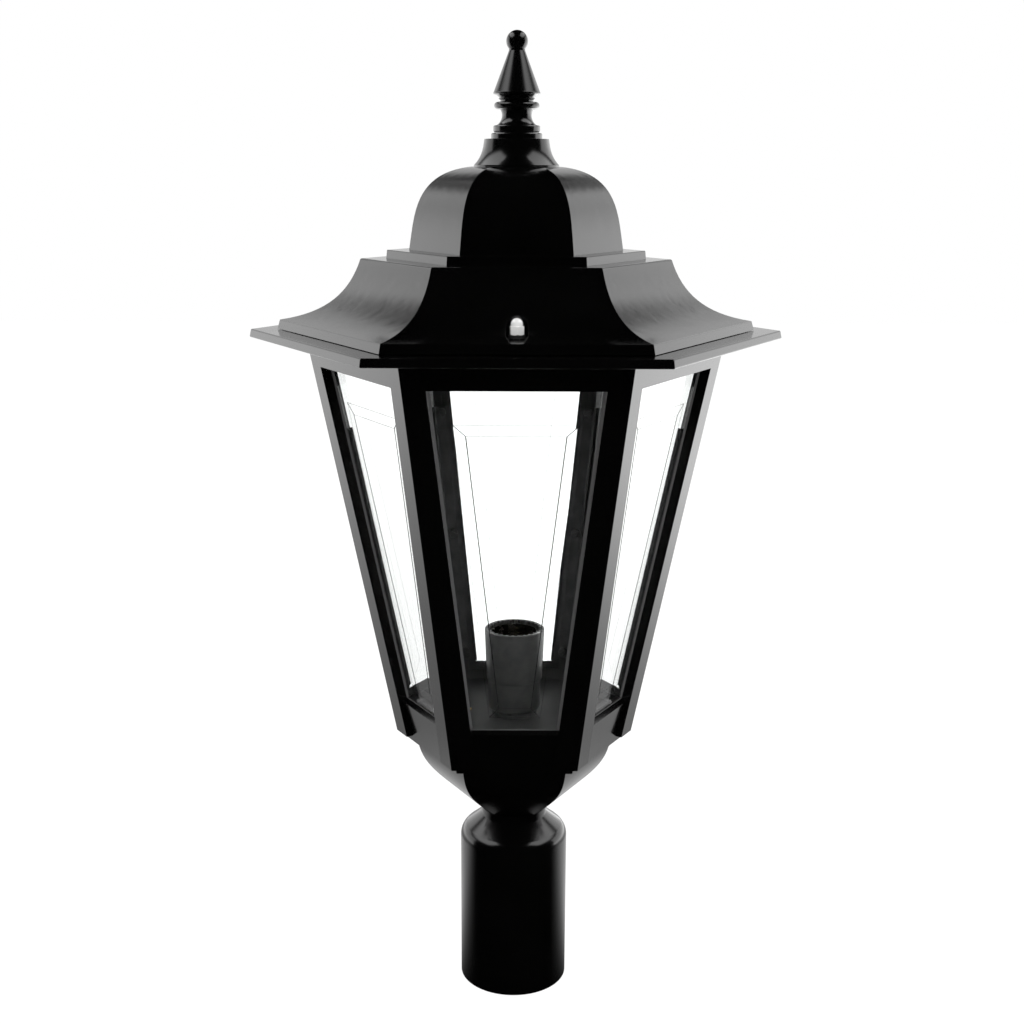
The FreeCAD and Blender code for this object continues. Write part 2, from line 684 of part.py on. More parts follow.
def glass_clips():
    """A folded strip up each corner, whose two wings bear on the neighbouring panes."""
    slope = math.tan(corner_slope())
    flat, tip = CLIP_FLAT / 2, CLIP_FLAT / 2 + CLIP_WING
    thick = CLIP_THICKNESS / math.cos(corner_slope())
    front = [(-tip, tip * slope), (-flat, flat * slope), (flat, flat * slope), (tip, tip * slope)]
    back = [(tip, tip * slope + thick), (flat, clip_back())]
    back += [(-side, depth) for side, depth in reversed(back)]
    holes = [Part.makeCylinder(CLIP_SCREW_DIAMETER / 2 + THREAD_CLEARANCE, 4 * CLIP_THICKNESS,
                               spot - axis * 2 * CLIP_THICKNESS, axis) for spot, axis in clip_spots()]
    strips = []
    for azimuth, outward, along in clip_frame():
        sideways = place(1, azimuth + 90)
        corner = place(clip_rest(CLIP_FOOT), azimuth, CLIP_FOOT)
        points = [corner + sideways * side - outward * depth for side, depth in front + back]
        strips.append(polygon_bar(points, along * ((CLIP_TOP - CLIP_FOOT) / math.cos(CORNER_LEAN))).cut(holes))
    return Part.makeCompound(strips)


def clip_screw_length():
    rest = inset_radius(CAGE_FOOT, CAGE_WALL) - clip_rest(CAGE_FOOT)
    return rest * math.cos(CORNER_LEAN) + clip_back() + CLIP_SCREW_GRIP


def clip_screws():
    screw = pan_screw(CLIP_SCREW_DIAMETER, clip_screw_length())
    screws = []
    for spot, axis in clip_spots():
        copy = screw.copy()
        copy.Placement = FreeCAD.Placement(spot, Rotation(UP, axis * -1))
        screws.append(copy)
    return Part.makeCompound(screws)


# Roof, gasket and roof fixings


def level_edges(shape, height):
    return [edge for edge in shape.Edges if abs(edge.BoundBox.ZMin - height) + abs(edge.BoundBox.ZMax - height) < 1e-3]


def rising_edges(shape):
    """The edges that climb the corners of a six-sided piece over its full height."""
    height = shape.BoundBox.ZLength
    return [edge for edge in shape.Edges if edge.BoundBox.ZLength > 0.9 * height]


def roof():
    """One thin casting: rim, cove, slab, dome and neck over a hollow that follows them."""
    cove = bend(mid(RIM_TOP_RADIUS, RIM_TOP), mid(COVE_TOP_RADIUS, COVE_TOP), COVE_BEND)
    dome = bend(mid(DOME_FOOT_RADIUS, SLAB_TOP), mid(DOME_TOP_RADIUS, DOME_TOP), DOME_BEND)
    rim = frustum(RIM_FOOT_RADIUS, RIM_TOP_RADIUS, ROOF_FOOT, RIM_TOP)
    rim = rim.makeFillet(RIM_EDGE_ROUND, level_edges(rim, RIM_TOP))
    hood = six_sided(at(0, ROOF_FOOT), at(cove.Vertexes[0].X, ROOF_FOOT), cove, at(0, COVE_TOP))
    hood = hood.makeFillet(COVE_EDGE_ROUND, level_edges(hood, COVE_TOP))
    slab = frustum(SLAB_FOOT_RADIUS, SLAB_TOP_RADIUS, COVE_TOP - 1, SLAB_TOP)
    slab = slab.makeFillet(SLAB_EDGE_ROUND, level_edges(slab, SLAB_TOP))
    cap = six_sided(at(0, SLAB_TOP - 1), mid(DOME_FOOT_RADIUS, SLAB_TOP - 1), dome, at(0, DOME_TOP))
    neck_foot = DOME_TOP + NECK_FOOT_HEIGHT
    neck = turned(
        at(0, DOME_TOP - 2), at(NECK_FOOT_RADIUS, DOME_TOP - 2), at(NECK_FOOT_RADIUS, neck_foot),
        bend(at(NECK_FOOT_RADIUS, neck_foot), at(NECK_TOP_RADIUS, NECK_TOP), NECK_BEND), at(0, NECK_TOP))
    under_cove = six_sided(
        at(0, ROOF_FOOT - 1), at(cove.Vertexes[0].X, ROOF_FOOT - 1), shifted(cove, -ROOF_WALL, -ROOF_WALL),
        at(0, COVE_TOP - ROOF_WALL))
    under_cove = under_cove.common(prism(RIM_FOOT_RADIUS - RIM_LEDGE, ROOF_FOOT - 1, COVE_TOP))
    under_slab = six_sided(
        at(0, COVE_TOP - ROOF_WALL - 1), at(SLAB_FOOT_RADIUS * COS_HALF - ROOF_WALL, COVE_TOP - ROOF_WALL - 1),
        at(SLAB_TOP_RADIUS * COS_HALF - ROOF_WALL, SLAB_TOP - ROOF_WALL), at(0, SLAB_TOP - ROOF_WALL))
    lining = shifted(dome, -ROOF_WALL, -ROOF_WALL)
    under_dome = six_sided(
        at(0, SLAB_TOP - ROOF_WALL - 1), at(lining.Vertexes[0].X, SLAB_TOP - ROOF_WALL - 1), lining,
        at(0, DOME_TOP - ROOF_WALL))
    in_neck = rod(NECK_TOP_RADIUS - ROOF_WALL, DOME_TOP - ROOF_WALL - 1, NECK_TOP - NECK_WEB)
    stud_hole = rod(FINIAL_STUD_DIAMETER / 2 + THREAD_CLEARANCE, NECK_TOP - NECK_WEB - 1, NECK_TOP + 1)
    groove = gasket_ring(ROOF_FOOT - 1, EAVES_TOP + GASKET_THICKNESS, GASKET_SLACK)
    body = hood.fuse([rim, slab, cap, neck])
    body = body.cut([under_cove, under_slab, under_dome, in_neck, stud_hole, groove])
    return one_solid(body.fuse(roof_bosses(hood)).cut(roof_pockets()))


def roof_bosses(outside):
    """Solid ground under the cove for the pockets, joined to the rim's ledge."""
    radius = POCKET_RADIUS + ROOF_BOSS_WALL
    ledge = (RIM_FOOT_RADIUS - RIM_LEDGE) * COS_HALF
    bosses = []
    for azimuth in STUD_AZIMUTHS:
        spot = place(STUD_DISTANCE, azimuth)
        rib = Part.makeBox(ledge + 1 - STUD_DISTANCE, 2 * radius, COVE_HEIGHT, Vector(STUD_DISTANCE, -radius, ROOF_FOOT))
        boss = rod(radius, ROOF_FOOT, COVE_TOP, spot.x, spot.y).fuse(rotated(rib, azimuth))
        bosses.append(boss.common(outside))
    return bosses


def roof_pockets():
    """A round pocket for each dome nut, a slot that drains it to the rim, and the stud's hole."""
    floor, slot_floor = RIM_TOP + POCKET_FLOOR, RIM_TOP + POCKET_SLOT_FLOOR
    half = POCKET_SLOT_WIDTH / 2
    knee = slot_floor + POCKET_RADIUS - half
    section = [Vector(-half, 0, slot_floor), Vector(half, 0, slot_floor), Vector(POCKET_RADIUS, 0, knee),
               Vector(POCKET_RADIUS, 0, COVE_TOP), Vector(-POCKET_RADIUS, 0, COVE_TOP), Vector(-POCKET_RADIUS, 0, knee)]
    cutters = []
    for azimuth in STUD_AZIMUTHS:
        spot = place(STUD_DISTANCE, azimuth)
        slot = polygon_bar(section, Vector(0, STUD_DISTANCE - RIM_FOOT_RADIUS, 0))
        slot.translate(Vector(0, -STUD_DISTANCE, 0))
        cutters.append(from_front(slot, azimuth))
        cutters.append(rod(POCKET_RADIUS, floor, COVE_TOP, spot.x, spot.y))
        cutters.append(rod(STUD_DIAMETER / 2 + STUD_HOLE_CLEARANCE, ROOF_FOOT - 1, floor + 1, spot.x, spot.y))
    return cutters


def gasket_ring(foot, top, slack):
    outer = RIM_FOOT_RADIUS - GASKET_INSET + slack
    inner = outer - (GASKET_WIDTH + slack) / COS_HALF - slack
    return prism(outer, foot, top).cut(prism(inner, foot - 1, top + 1))


def roof_gasket():
    return one_solid(gasket_ring(EAVES_TOP, EAVES_TOP + GASKET_THICKNESS, 0))


def roof_studs():
    """Studs screwed into the bosses under the eaves plate."""
    tip = RIM_TOP + POCKET_FLOOR + DOME_WASHER_THICKNESS + DOME_NUT_BORE_DEPTH - 1
    stud = turned(
        at(0, CAGE_TOP - STUD_BOSS_HEIGHT), at(STUD_DIAMETER / 2, CAGE_TOP - STUD_BOSS_HEIGHT),
        at(STUD_DIAMETER / 2, tip - 0.4), at(STUD_DIAMETER / 2 - 0.4, tip), at(0, tip))
    return Part.makeCompound([moved(stud, place(STUD_DISTANCE, azimuth)) for azimuth in STUD_AZIMUTHS])


def dome_washers():
    foot = RIM_TOP + POCKET_FLOOR
    washer = ring(DOME_WASHER_DIAMETER / 2, STUD_DIAMETER / 2 + STUD_HOLE_CLEARANCE, foot,
                  foot + DOME_WASHER_THICKNESS)
    return Part.makeCompound([moved(washer, place(STUD_DISTANCE, azimuth)) for azimuth in STUD_AZIMUTHS])


def dome_nuts():
    foot = RIM_TOP + POCKET_FLOOR + DOME_WASHER_THICKNESS
    shoulder, top = foot + DOME_NUT_HEX_HEIGHT, foot + DOME_NUT_HEIGHT
    radius = DOME_NUT_CAP_DIAMETER / 2
    spring, slant = top - radius, radius * math.sqrt(0.5)
    cap = turned(
        at(0, shoulder - 1), at(radius, shoulder - 1),
        arc(at(radius, spring), at(slant, spring + slant), at(0, top)))
    nut = nut_blank(DOME_NUT_ACROSS_FLATS, foot, shoulder).fuse(cap)
    nut = one_solid(nut.cut(rod(STUD_DIAMETER / 2 + THREAD_CLEARANCE, foot - 1, foot + DOME_NUT_BORE_DEPTH)))
    return Part.makeCompound([moved(rotated(nut, azimuth + DOME_NUT_TWIST), place(STUD_DISTANCE, azimuth))
                              for azimuth in STUD_AZIMUTHS])


# Finial


def finial():
    flange_top = NECK_TOP + FINIAL_FLANGE_HEIGHT
    disc_foot = flange_top + FINIAL_EDGE_ROUND
    disc_top = disc_foot + FINIAL_DISC_HEIGHT
    bead_foot = disc_top + FINIAL_WAIST_HEIGHT
    bead_top = bead_foot + FINIAL_BEAD_HEIGHT
    collar_foot = bead_top + FINIAL_GROOVE
    collar_top = collar_foot + FINIAL_COLLAR_HEIGHT
    lip = collar_top + FINIAL_LIP_HEIGHT
    cone_top = lip + FINIAL_CONE_HEIGHT
    ball_centre = cone_top + math.sqrt(FINIAL_BALL_RADIUS ** 2 - FINIAL_TIP_RADIUS ** 2) + FINIAL_GROOVE
    bead_half = FINIAL_BEAD_HEIGHT / 2
    bead_core = FINIAL_BEAD_RADIUS - bead_half
    soft = FINIAL_EDGE_ROUND
    root = FINIAL_WAIST_RADIUS + 1
    waist = arc(at(FINIAL_DISC_RADIUS - 1.5, disc_top), at(FINIAL_WAIST_RADIUS, disc_top + FINIAL_WAIST_HEIGHT * 0.55),
                at(root, bead_foot))
    bead = arc(at(bead_core, bead_foot), at(FINIAL_BEAD_RADIUS, bead_foot + bead_half), at(bead_core, bead_top))
    undercut = arc(at(FINIAL_COLLAR_RADIUS - soft, collar_top), at(FINIAL_COLLAR_RADIUS + 0.8, lip - 1.9),
                   at(FINIAL_LIP_RADIUS - soft, lip - 1.2))
    ball_foot = ball_centre - math.sqrt(FINIAL_BALL_RADIUS ** 2 - FINIAL_TIP_RADIUS ** 2)
    ball = arc(at(FINIAL_TIP_RADIUS, ball_foot), at(FINIAL_BALL_RADIUS, ball_centre),
               at(0, ball_centre + FINIAL_BALL_RADIUS))
    body = turned(
        at(0, NECK_TOP), at(FINIAL_FLANGE_RADIUS, NECK_TOP), at(FINIAL_FLANGE_RADIUS, flange_top - soft),
        at(FINIAL_FLANGE_RADIUS - soft, flange_top), at(FINIAL_DISC_RADIUS - soft, flange_top),
        at(FINIAL_DISC_RADIUS - soft, disc_foot), at(FINIAL_DISC_RADIUS, disc_foot + soft),
        at(FINIAL_DISC_RADIUS, disc_top - soft), at(FINIAL_DISC_RADIUS - soft, disc_top), waist, bead,
        at(FINIAL_COLLAR_RADIUS - 1, bead_top), at(FINIAL_COLLAR_RADIUS - 1, collar_foot),
        at(FINIAL_COLLAR_RADIUS, collar_foot + soft), at(FINIAL_COLLAR_RADIUS, collar_top - soft),
        undercut, arc(at(FINIAL_LIP_RADIUS - soft, lip - 1.2), at(FINIAL_LIP_RADIUS, lip - 0.6),
                      at(FINIAL_LIP_RADIUS - 0.2, lip)),
        at(FINIAL_TIP_RADIUS, cone_top), ball)
    socket = rod(FINIAL_STUD_DIAMETER / 2 + THREAD_CLEARANCE / 2, NECK_TOP - 1, NECK_TOP + FINIAL_STUD_DEPTH)
    return one_solid(body.cut(socket))


def finial_stack():
    """Heights of the washer and nut that hold the finial from inside the neck."""
    web = NECK_TOP - NECK_WEB
    return web - FINIAL_WASHER_THICKNESS - FINIAL_NUT_THICKNESS, web - FINIAL_WASHER_THICKNESS, web


def finial_stud():
    return rod(FINIAL_STUD_DIAMETER / 2, finial_stack()[0] - STEM_OVERHANG, NECK_TOP + FINIAL_STUD_DEPTH - 0.5)


def finial_nut():
    foot, top, _ = finial_stack()
    return chamfered_nut(FINIAL_NUT_ACROSS_FLATS, foot, top, FINIAL_STUD_DIAMETER / 2 + THREAD_CLEARANCE / 2)


def finial_washer():
    _, foot, top = finial_stack()
    return ring(FINIAL_WASHER_DIAMETER / 2, FINIAL_STUD_DIAMETER / 2 + THREAD_CLEARANCE, foot, top)


# Lampholder


SKIRT_TOP = FLOOR_TOP + HOLDER_FOOT_HEIGHT + HOLDER_BODY_HEIGHT + SKIRT_HEIGHT - SKIRT_WALL
SKIRT_FOOT = SKIRT_TOP - SKIRT_HEIGHT
CARRIER_FOOT = SKIRT_FOOT + SKIRT_WALL
CARRIER_TOP = CARRIER_FOOT + CARRIER_THICKNESS
CONTACT_SEAT = CARRIER_TOP - CONTACT_DEPTH


def lampholder_body():
    """The lower cup, screwed to the hollow stem and closed by the contact carrier."""
    foot, shoulder = FLOOR_TOP, FLOOR_TOP + HOLDER_FOOT_HEIGHT
    outer, base = HOLDER_BODY_DIAMETER / 2, HOLDER_FOOT_DIAMETER / 2
    body = turned(
        at(0, foot), at(base, foot), at(base, shoulder), at(outer, shoulder + (outer - base)), at(outer, CARRIER_FOOT),
        at(0, CARRIER_FOOT))
    hollow = rod(outer - HOLDER_BODY_WALL, shoulder + HOLDER_BODY_WALL, CARRIER_FOOT + 1)
    stem_hole = rod(HOLDER_STEM_DIAMETER / 2 + THREAD_CLEARANCE / 2, foot - 1, CARRIER_FOOT)
    return one_solid(body.cut(hollow).cut(stem_hole))


def lampholder_skirt():
    """The upper cup: its inner edge is toothed for the fingers."""
    outer = SKIRT_DIAMETER / 2
    inner = outer - SKIRT_WALL
    lip = HOLDER_BODY_DIAMETER / 2 + CARRIER_CLEARANCE
    body = turned_ring(
        at(lip, SKIRT_FOOT), at(outer - 0.6, SKIRT_FOOT), at(outer, SKIRT_FOOT + 0.6), at(outer, SKIRT_TOP - 0.6),
        at(outer - 0.6, SKIRT_TOP), at(inner, SKIRT_TOP), at(inner, CARRIER_FOOT), at(lip, CARRIER_FOOT))
    for index in range(RIM_TEETH):
        tooth = rod(RIM_TOOTH_DEPTH, SKIRT_TOP - RIM_TOOTH_HEIGHT, SKIRT_TOP + 1, inner, 0)
        body = body.cut(rotated(tooth, 360.0 * index / RIM_TEETH))
    return one_solid(body)


def contact_carrier():
    """The ceramic disc: a spigot for the screw shell around a well for the contact."""
    body = rod(SKIRT_DIAMETER / 2 - SKIRT_WALL - CARRIER_CLEARANCE, CARRIER_FOOT, CARRIER_TOP)
    spigot = LAMP_THREAD_DIAMETER / 2 + SHELL_THICKNESS + CARRIER_CLEARANCE
    cuts = [ring(SKIRT_DIAMETER / 2, spigot, CARRIER_TOP - CARRIER_THICKNESS / 2, CARRIER_TOP + 1),
            rod(CONTACT_WELL_RADIUS, CONTACT_SEAT, CARRIER_TOP + 1)]
    for side in (-1, 1):
        cuts.append(rod(HOLDER_SCREW_DIAMETER / 2 + THREAD_CLEARANCE / 2, CARRIER_FOOT - 1, CARRIER_TOP,
                        side * HOLDER_SCREW_SPACING / 2, 0))
    return one_solid(body.cut(cuts))


def screw_shell():
    inner = LAMP_THREAD_DIAMETER / 2
    return ring(inner + SHELL_THICKNESS, inner, CARRIER_TOP, CARRIER_TOP + SHELL_HEIGHT)


def centre_contact():
    """A sprung strip: riveted at one end, with its free end under the lamp's tip."""
    foot = CONTACT_SEAT
    half = CONTACT_WIDTH / 2
    span = HOLDER_SCREW_SPACING / 2 - HOLDER_SCREW_DIAMETER - 1
    points = [
        Vector(-span, -half, foot), Vector(-half, -half, foot), Vector(half, -half, foot + CONTACT_RISE),
        Vector(span, -half, foot + CONTACT_RISE), Vector(span, -half, foot + CONTACT_RISE + CONTACT_THICKNESS),
        Vector(half - CONTACT_THICKNESS / 2, -half, foot + CONTACT_RISE + CONTACT_THICKNESS),
        Vector(-half - CONTACT_THICKNESS / 2, -half, foot + CONTACT_THICKNESS),
        Vector(-span, -half, foot + CONTACT_THICKNESS)]
    return polygon_bar(points, Vector(0, CONTACT_WIDTH, 0))


def lampholder_screws():
    """The two terminal screws, driven up into the contact carrier from below."""
    screw = pan_screw(HOLDER_SCREW_DIAMETER, CONTACT_SEAT - CARRIER_FOOT)
    screw.rotate(Vector(0, 0, 0), Vector(1, 0, 0), 180)
    spots = [Vector(side * HOLDER_SCREW_SPACING / 2, 0, CARRIER_FOOT) for side in (-1, 1)]
    return Part.makeCompound([moved(screw, spot) for spot in spots])


def lampholder_stem():
    top = FLOOR_TOP + HOLDER_FOOT_HEIGHT + HOLDER_BODY_WALL + 2
    return ring(HOLDER_STEM_DIAMETER / 2, HOLDER_STEM_BORE / 2, top - HOLDER_STEM_LENGTH, top)


def lampholder_nut():
    bore = HOLDER_STEM_DIAMETER / 2 + THREAD_CLEARANCE / 2
    return chamfered_nut(HOLDER_NUT_ACROSS_FLATS, BOWL_TOP - HOLDER_NUT_THICKNESS, BOWL_TOP, bore)


# Supply terminals


def pole_places():
    pitch = BLOCK_LENGTH / BLOCK_POLES
    return [pitch * (index - (BLOCK_POLES - 1) / 2) for index in range(BLOCK_POLES)]


def terminal_block():
    """A block with a through hole and two screws for each pole, hung under the cage floor."""
    foot = BOWL_TOP - BLOCK_HEIGHT
    body = Part.makeBox(BLOCK_LENGTH, BLOCK_WIDTH, BLOCK_HEIGHT,
                        Vector(-BLOCK_LENGTH / 2, BLOCK_OFFSET - BLOCK_WIDTH / 2, foot))
    wire_level = foot + BLOCK_HEIGHT * 0.35
    for x in pole_places():
        body = body.cut(Part.makeCylinder(BLOCK_WIRE_HOLE / 2, BLOCK_WIDTH + 2,
                                          Vector(x, BLOCK_OFFSET - BLOCK_WIDTH / 2 - 1, wire_level), Vector(0, 1, 0)))
        for side in (-1, 1):
            y = BLOCK_OFFSET + side * BLOCK_WIDTH / 4
            body = body.cut(rod(TERMINAL_SCREW_DIAMETER / 2 + THREAD_CLEARANCE / 2, foot - 1,
                                foot + TERMINAL_SCREW_LENGTH, x, y))
    for x in pole_places()[:-1]:
        groove = Part.makeBox(1, BLOCK_WIDTH + 2, 1.5, Vector(x + BLOCK_LENGTH / BLOCK_POLES / 2 - 0.5,
                                                            BLOCK_OFFSET - BLOCK_WIDTH / 2 - 1, foot))
        body = body.cut(groove)
    hole = rod(BLOCK_SCREW_DIAMETER / 2 + THREAD_CLEARANCE / 2, BOWL_TOP - 7, BOWL_TOP + 1, 0, BLOCK_OFFSET)
    return one_solid(body.cut(hole))


def terminal_screws():
    foot = BOWL_TOP - BLOCK_HEIGHT
    screw = rod(TERMINAL_SCREW_DIAMETER / 2, foot + 0.4, foot + 0.4 + TERMINAL_SCREW_LENGTH - 1)
    slot = Part.makeBox(TERMINAL_SCREW_DIAMETER * 2, 0.8, 0.8, Vector(-TERMINAL_SCREW_DIAMETER, -0.4, foot + 0.2))
    screw = screw.cut(slot)
    spots = [Vector(x, BLOCK_OFFSET + side * BLOCK_WIDTH / 4, 0) for x in pole_places() for side in (-1, 1)]
    return Part.makeCompound([moved(screw, spot) for spot in spots])


def terminal_block_screw():
    return moved(pan_screw(BLOCK_SCREW_DIAMETER, CAGE_FLOOR_THICKNESS + 6), Vector(0, BLOCK_OFFSET, FLOOR_TOP))


def earth_washer():
    x, y = EARTH_SCREW_PLACE
    washer = ring(EARTH_WASHER_DIAMETER / 2, EARTH_SCREW_DIAMETER / 2 + THREAD_CLEARANCE,
                  BOWL_TOP - EARTH_WASHER_THICKNESS, BOWL_TOP)
    return moved(washer, Vector(x, y, 0))


def earth_screw():
    """The earth terminal, driven up into the cage floor from inside the bowl."""
    x, y = EARTH_SCREW_PLACE
    screw = pan_screw(EARTH_SCREW_DIAMETER, EARTH_SCREW_LENGTH - EARTH_WASHER_THICKNESS - 3)
    screw.rotate(Vector(0, 0, 0), Vector(1, 0, 0), 180)
    return moved(screw, Vector(x, y, BOWL_TOP - EARTH_WASHER_THICKNESS))


PANE_NAMES = {
    270.0: "pane_front", 330.0: "pane_front_right", 30.0: "pane_rear_right",
    90.0: "pane_rear", 150.0: "pane_rear_left", 210.0: "pane_front_left"}

PIECES = {
    "post_socket": post_socket,
    "grub_screws": grub_screws,
    "stem": stem,
    "stem_nuts": stem_nuts,
    "stem_washers": stem_washers,
    "base_bowl": base_bowl,
    "bowl_screws": bowl_screws,
    "cage_frame": cage_frame,
    "glass_clips": glass_clips,
    "clip_screws": clip_screws,
    "roof_studs": roof_studs,
    "lampholder_body": lampholder_body,
    "lampholder_skirt": lampholder_skirt,
    "contact_carrier": contact_carrier,
    "screw_shell": screw_shell,
    "centre_contact": centre_contact,
    "lampholder_screws": lampholder_screws,
    "lampholder_stem": lampholder_stem,
    "lampholder_nut": lampholder_nut,
    "terminal_block": terminal_block,
    "terminal_screws": terminal_screws,
    "terminal_block_screw": terminal_block_screw,
    "earth_screw": earth_screw,
    "earth_washer": earth_washer,
    "roof": roof,
    "roof_gasket": roof_gasket,
    "dome_nuts": dome_nuts,
    "dome_washers": dome_washers,
    "finial": finial,
    "finial_stud": finial_stud,
    "finial_nut": finial_nut,
    "finial_washer": finial_washer,
}


def main():
    os.makedirs("parts", exist_ok=True)
    shapes = {name: make() for name, make in PIECES.items()}
    front = pane()
    for azimuth in FACES:
        shapes[PANE_NAMES[azimuth]] = from_front(front, azimuth)
    for name, shape in shapes.items():
        shape.exportStep("parts/" + name + ".step")
        box = shape.BoundBox
        print("%-22s solids %2d  valid %s  volume %10.1f  z %.1f to %.1f" % (
            name, len(shape.Solids), shape.isValid(), shape.Volume, box.ZMin, box.ZMax))


main()
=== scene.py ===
# %% [markdown]
# A Victorian street lantern that stands on a post. Its rigid pieces come from the CAD frame, in metres, with
# the origin at the foot of the post socket and the front pane facing -Y. This lesson gives them their
# finishes, adds what is too fine for a CAD file, such as threads, teeth and sealant, and sets up a white
# studio with a camera where the photographer stood.

# %% Load the frame
import json
import math

import bpy
from mathutils import Matrix, Vector


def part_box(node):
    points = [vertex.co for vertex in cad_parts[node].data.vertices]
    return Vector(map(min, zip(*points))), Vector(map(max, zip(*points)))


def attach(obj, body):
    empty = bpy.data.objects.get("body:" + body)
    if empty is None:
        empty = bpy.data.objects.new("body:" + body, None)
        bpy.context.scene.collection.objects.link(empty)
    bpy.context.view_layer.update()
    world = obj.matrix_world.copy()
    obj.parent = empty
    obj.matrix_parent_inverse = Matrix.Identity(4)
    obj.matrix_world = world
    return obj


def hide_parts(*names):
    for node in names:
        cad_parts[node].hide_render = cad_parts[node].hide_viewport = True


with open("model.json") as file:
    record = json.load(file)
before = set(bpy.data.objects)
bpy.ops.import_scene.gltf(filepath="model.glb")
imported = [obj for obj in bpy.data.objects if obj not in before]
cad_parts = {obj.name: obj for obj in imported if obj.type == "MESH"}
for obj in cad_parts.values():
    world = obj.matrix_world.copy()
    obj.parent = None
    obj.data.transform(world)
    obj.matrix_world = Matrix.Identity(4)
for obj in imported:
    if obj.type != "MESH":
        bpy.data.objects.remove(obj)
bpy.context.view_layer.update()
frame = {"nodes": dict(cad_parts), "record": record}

# %% [markdown]
# A material is a graph of nodes. Wiring it by hand takes many lines, so two small classes do it here. A
# Wire is one output of a node, and Python's own operators work on it, so 1 - mask is a Math node. A Graph
# adds every other kind of node with one method: its kind, its settings, and what its sockets get, which are
# numbers, colours or wires.

# %% A wire and a graph
MM = 0.001
SIN_60 = math.sin(math.radians(60))


class Wire:
    """One output socket, on which Python's operators add Math nodes."""

    def __init__(self, graph, socket):
        self.graph = graph
        self.socket = socket

    def maths(self, operation, first, second):
        return self.graph.node("ShaderNodeMath", {"operation": operation}, {0: first, 1: second})

    def __add__(self, other):
        return self.maths("ADD", self, other)

    def __radd__(self, other):
        return self.maths("ADD", other, self)

    def __sub__(self, other):
        return self.maths("SUBTRACT", self, other)

    def __rsub__(self, other):
        return self.maths("SUBTRACT", other, self)

    def __mul__(self, other):
        return self.maths("MULTIPLY", self, other)

    def __rmul__(self, other):
        return self.maths("MULTIPLY", other, self)

    def size(self):
        """The same number without its sign."""
        return self.maths("ABSOLUTE", self, 0.0)

    def or_larger(self, other):
        """The larger of two numbers."""
        return self.maths("MAXIMUM", self, other)


class Graph:
    """A node tree that is filled from one method."""

    def __init__(self, tree):
        self.tree = tree
        tree.nodes.clear()

    def node(self, kind, settings=None, inputs=None, output=0):
        """Adds a node, sets it up, feeds its sockets and returns one of its outputs as a wire."""
        made = self.tree.nodes.new(kind)
        for name, value in (settings or {}).items():
            setattr(made, name, value)
        for name, value in (inputs or {}).items():
            if isinstance(value, Wire):
                self.tree.links.new(value.socket, made.inputs[name])
            else:
                made.inputs[name].default_value = value
        return Wire(self, made.outputs[output]) if len(made.outputs) else None

    def place(self):
        """The point that is being shaded, in metres in the frame."""
        return self.node("ShaderNodeTexCoord", output="Object")

    def noise(self, size, detail=3.0, roughness=0.5):
        """Soft random spots of about this size in metres, from 0 to 1."""
        values = {"Vector": self.place(), "Scale": 1 / size, "Detail": detail, "Roughness": roughness}
        return self.node("ShaderNodeTexNoise", None, values)

    def split(self, vector):
        """The x, y and z of a vector, as three wires."""
        return [self.node("ShaderNodeSeparateXYZ", None, {0: vector}, output=axis) for axis in "XYZ"]

    def fade(self, value, low, high):
        """0 below low, 1 above high, and a smooth rise between them."""
        values = {"Value": value, "From Min": low, "From Max": high}
        return self.node("ShaderNodeMapRange", {"interpolation_type": "SMOOTHSTEP"}, values)

    def colours(self, factor, first, second):
        """A colour that goes from the first to the second with the factor."""
        values = {0: factor, 6: first, 7: second}
        return self.node("ShaderNodeMix", {"data_type": "RGBA"}, values, output=2)

    def bump(self, height, depth, normal=None):
        """A normal tilted by a height, whose full rise is depth in metres."""
        values = {"Height": height, "Distance": depth, "Strength": 1.0}
        if normal:
            values["Normal"] = normal
        return self.node("ShaderNodeBump", None, values)

    def mix_shader(self, factor, first, second):
        return self.node("ShaderNodeMixShader", None, {0: factor, 1: first, 2: second})

    def six_sided(self, vector):
        """How far a vector reaches along the nearest of the hexagon's three axes, and its height."""
        x, y, z = self.split(vector)
        slanted = (SIN_60 * x + 0.5 * y).size().or_larger((SIN_60 * x - 0.5 * y).size())
        return y.size().or_larger(slanted), z


def grey(value):
    """A neutral colour of this brightness."""
    return (value, value, value, 1.0)


print("ready: Wire and Graph")

# %% [markdown]
# Every finish below ends in the same shader, Blender's Principled BSDF, so one function starts a material,
# lets its recipe fill in the sockets, and keeps it under the name of the CAD material slot that it belongs
# to.

# %% A place to keep the finishes
finishes = {}


def finish(slot, name, recipe, second=None):
    """Makes a material from a recipe, which returns the Principled sockets that it fills.

    A second recipe returns a mask and the sockets of the shader that shows where the mask is 1.
    """
    material = bpy.data.materials.new(name)
    material.use_nodes = True
    graph = Graph(material.node_tree)
    shader = graph.node("ShaderNodeBsdfPrincipled", None, recipe(graph))
    if second:
        mask, sockets = second(graph)
        shader = graph.mix_shader(mask, shader, graph.node("ShaderNodeBsdfPrincipled", None, sockets))
    graph.node("ShaderNodeOutputMaterial", None, {"Surface": shader})
    finishes[slot] = material
    print("finish:", slot, "->", name)


# %% [markdown]
# The coat and the sealant need to know where the cage is, so its main sizes stand here once: the height of
# its lower edge, how far it rises, and at both ends the radius of its six corners and what each post takes of
# a side. Its walls lean outwards on the way up.

# %% The cage's sizes
CAGE_BASE, CAGE_RISE = 162.4 * MM, 241.5 * MM
CAGE_CORNERS = (72.2 * MM, 121.3 * MM)
POST_WIDTHS = (13.6 * MM, 12.5 * MM)
CAGE_LEAN = SIN_60 * (CAGE_CORNERS[1] - CAGE_CORNERS[0]) / CAGE_RISE


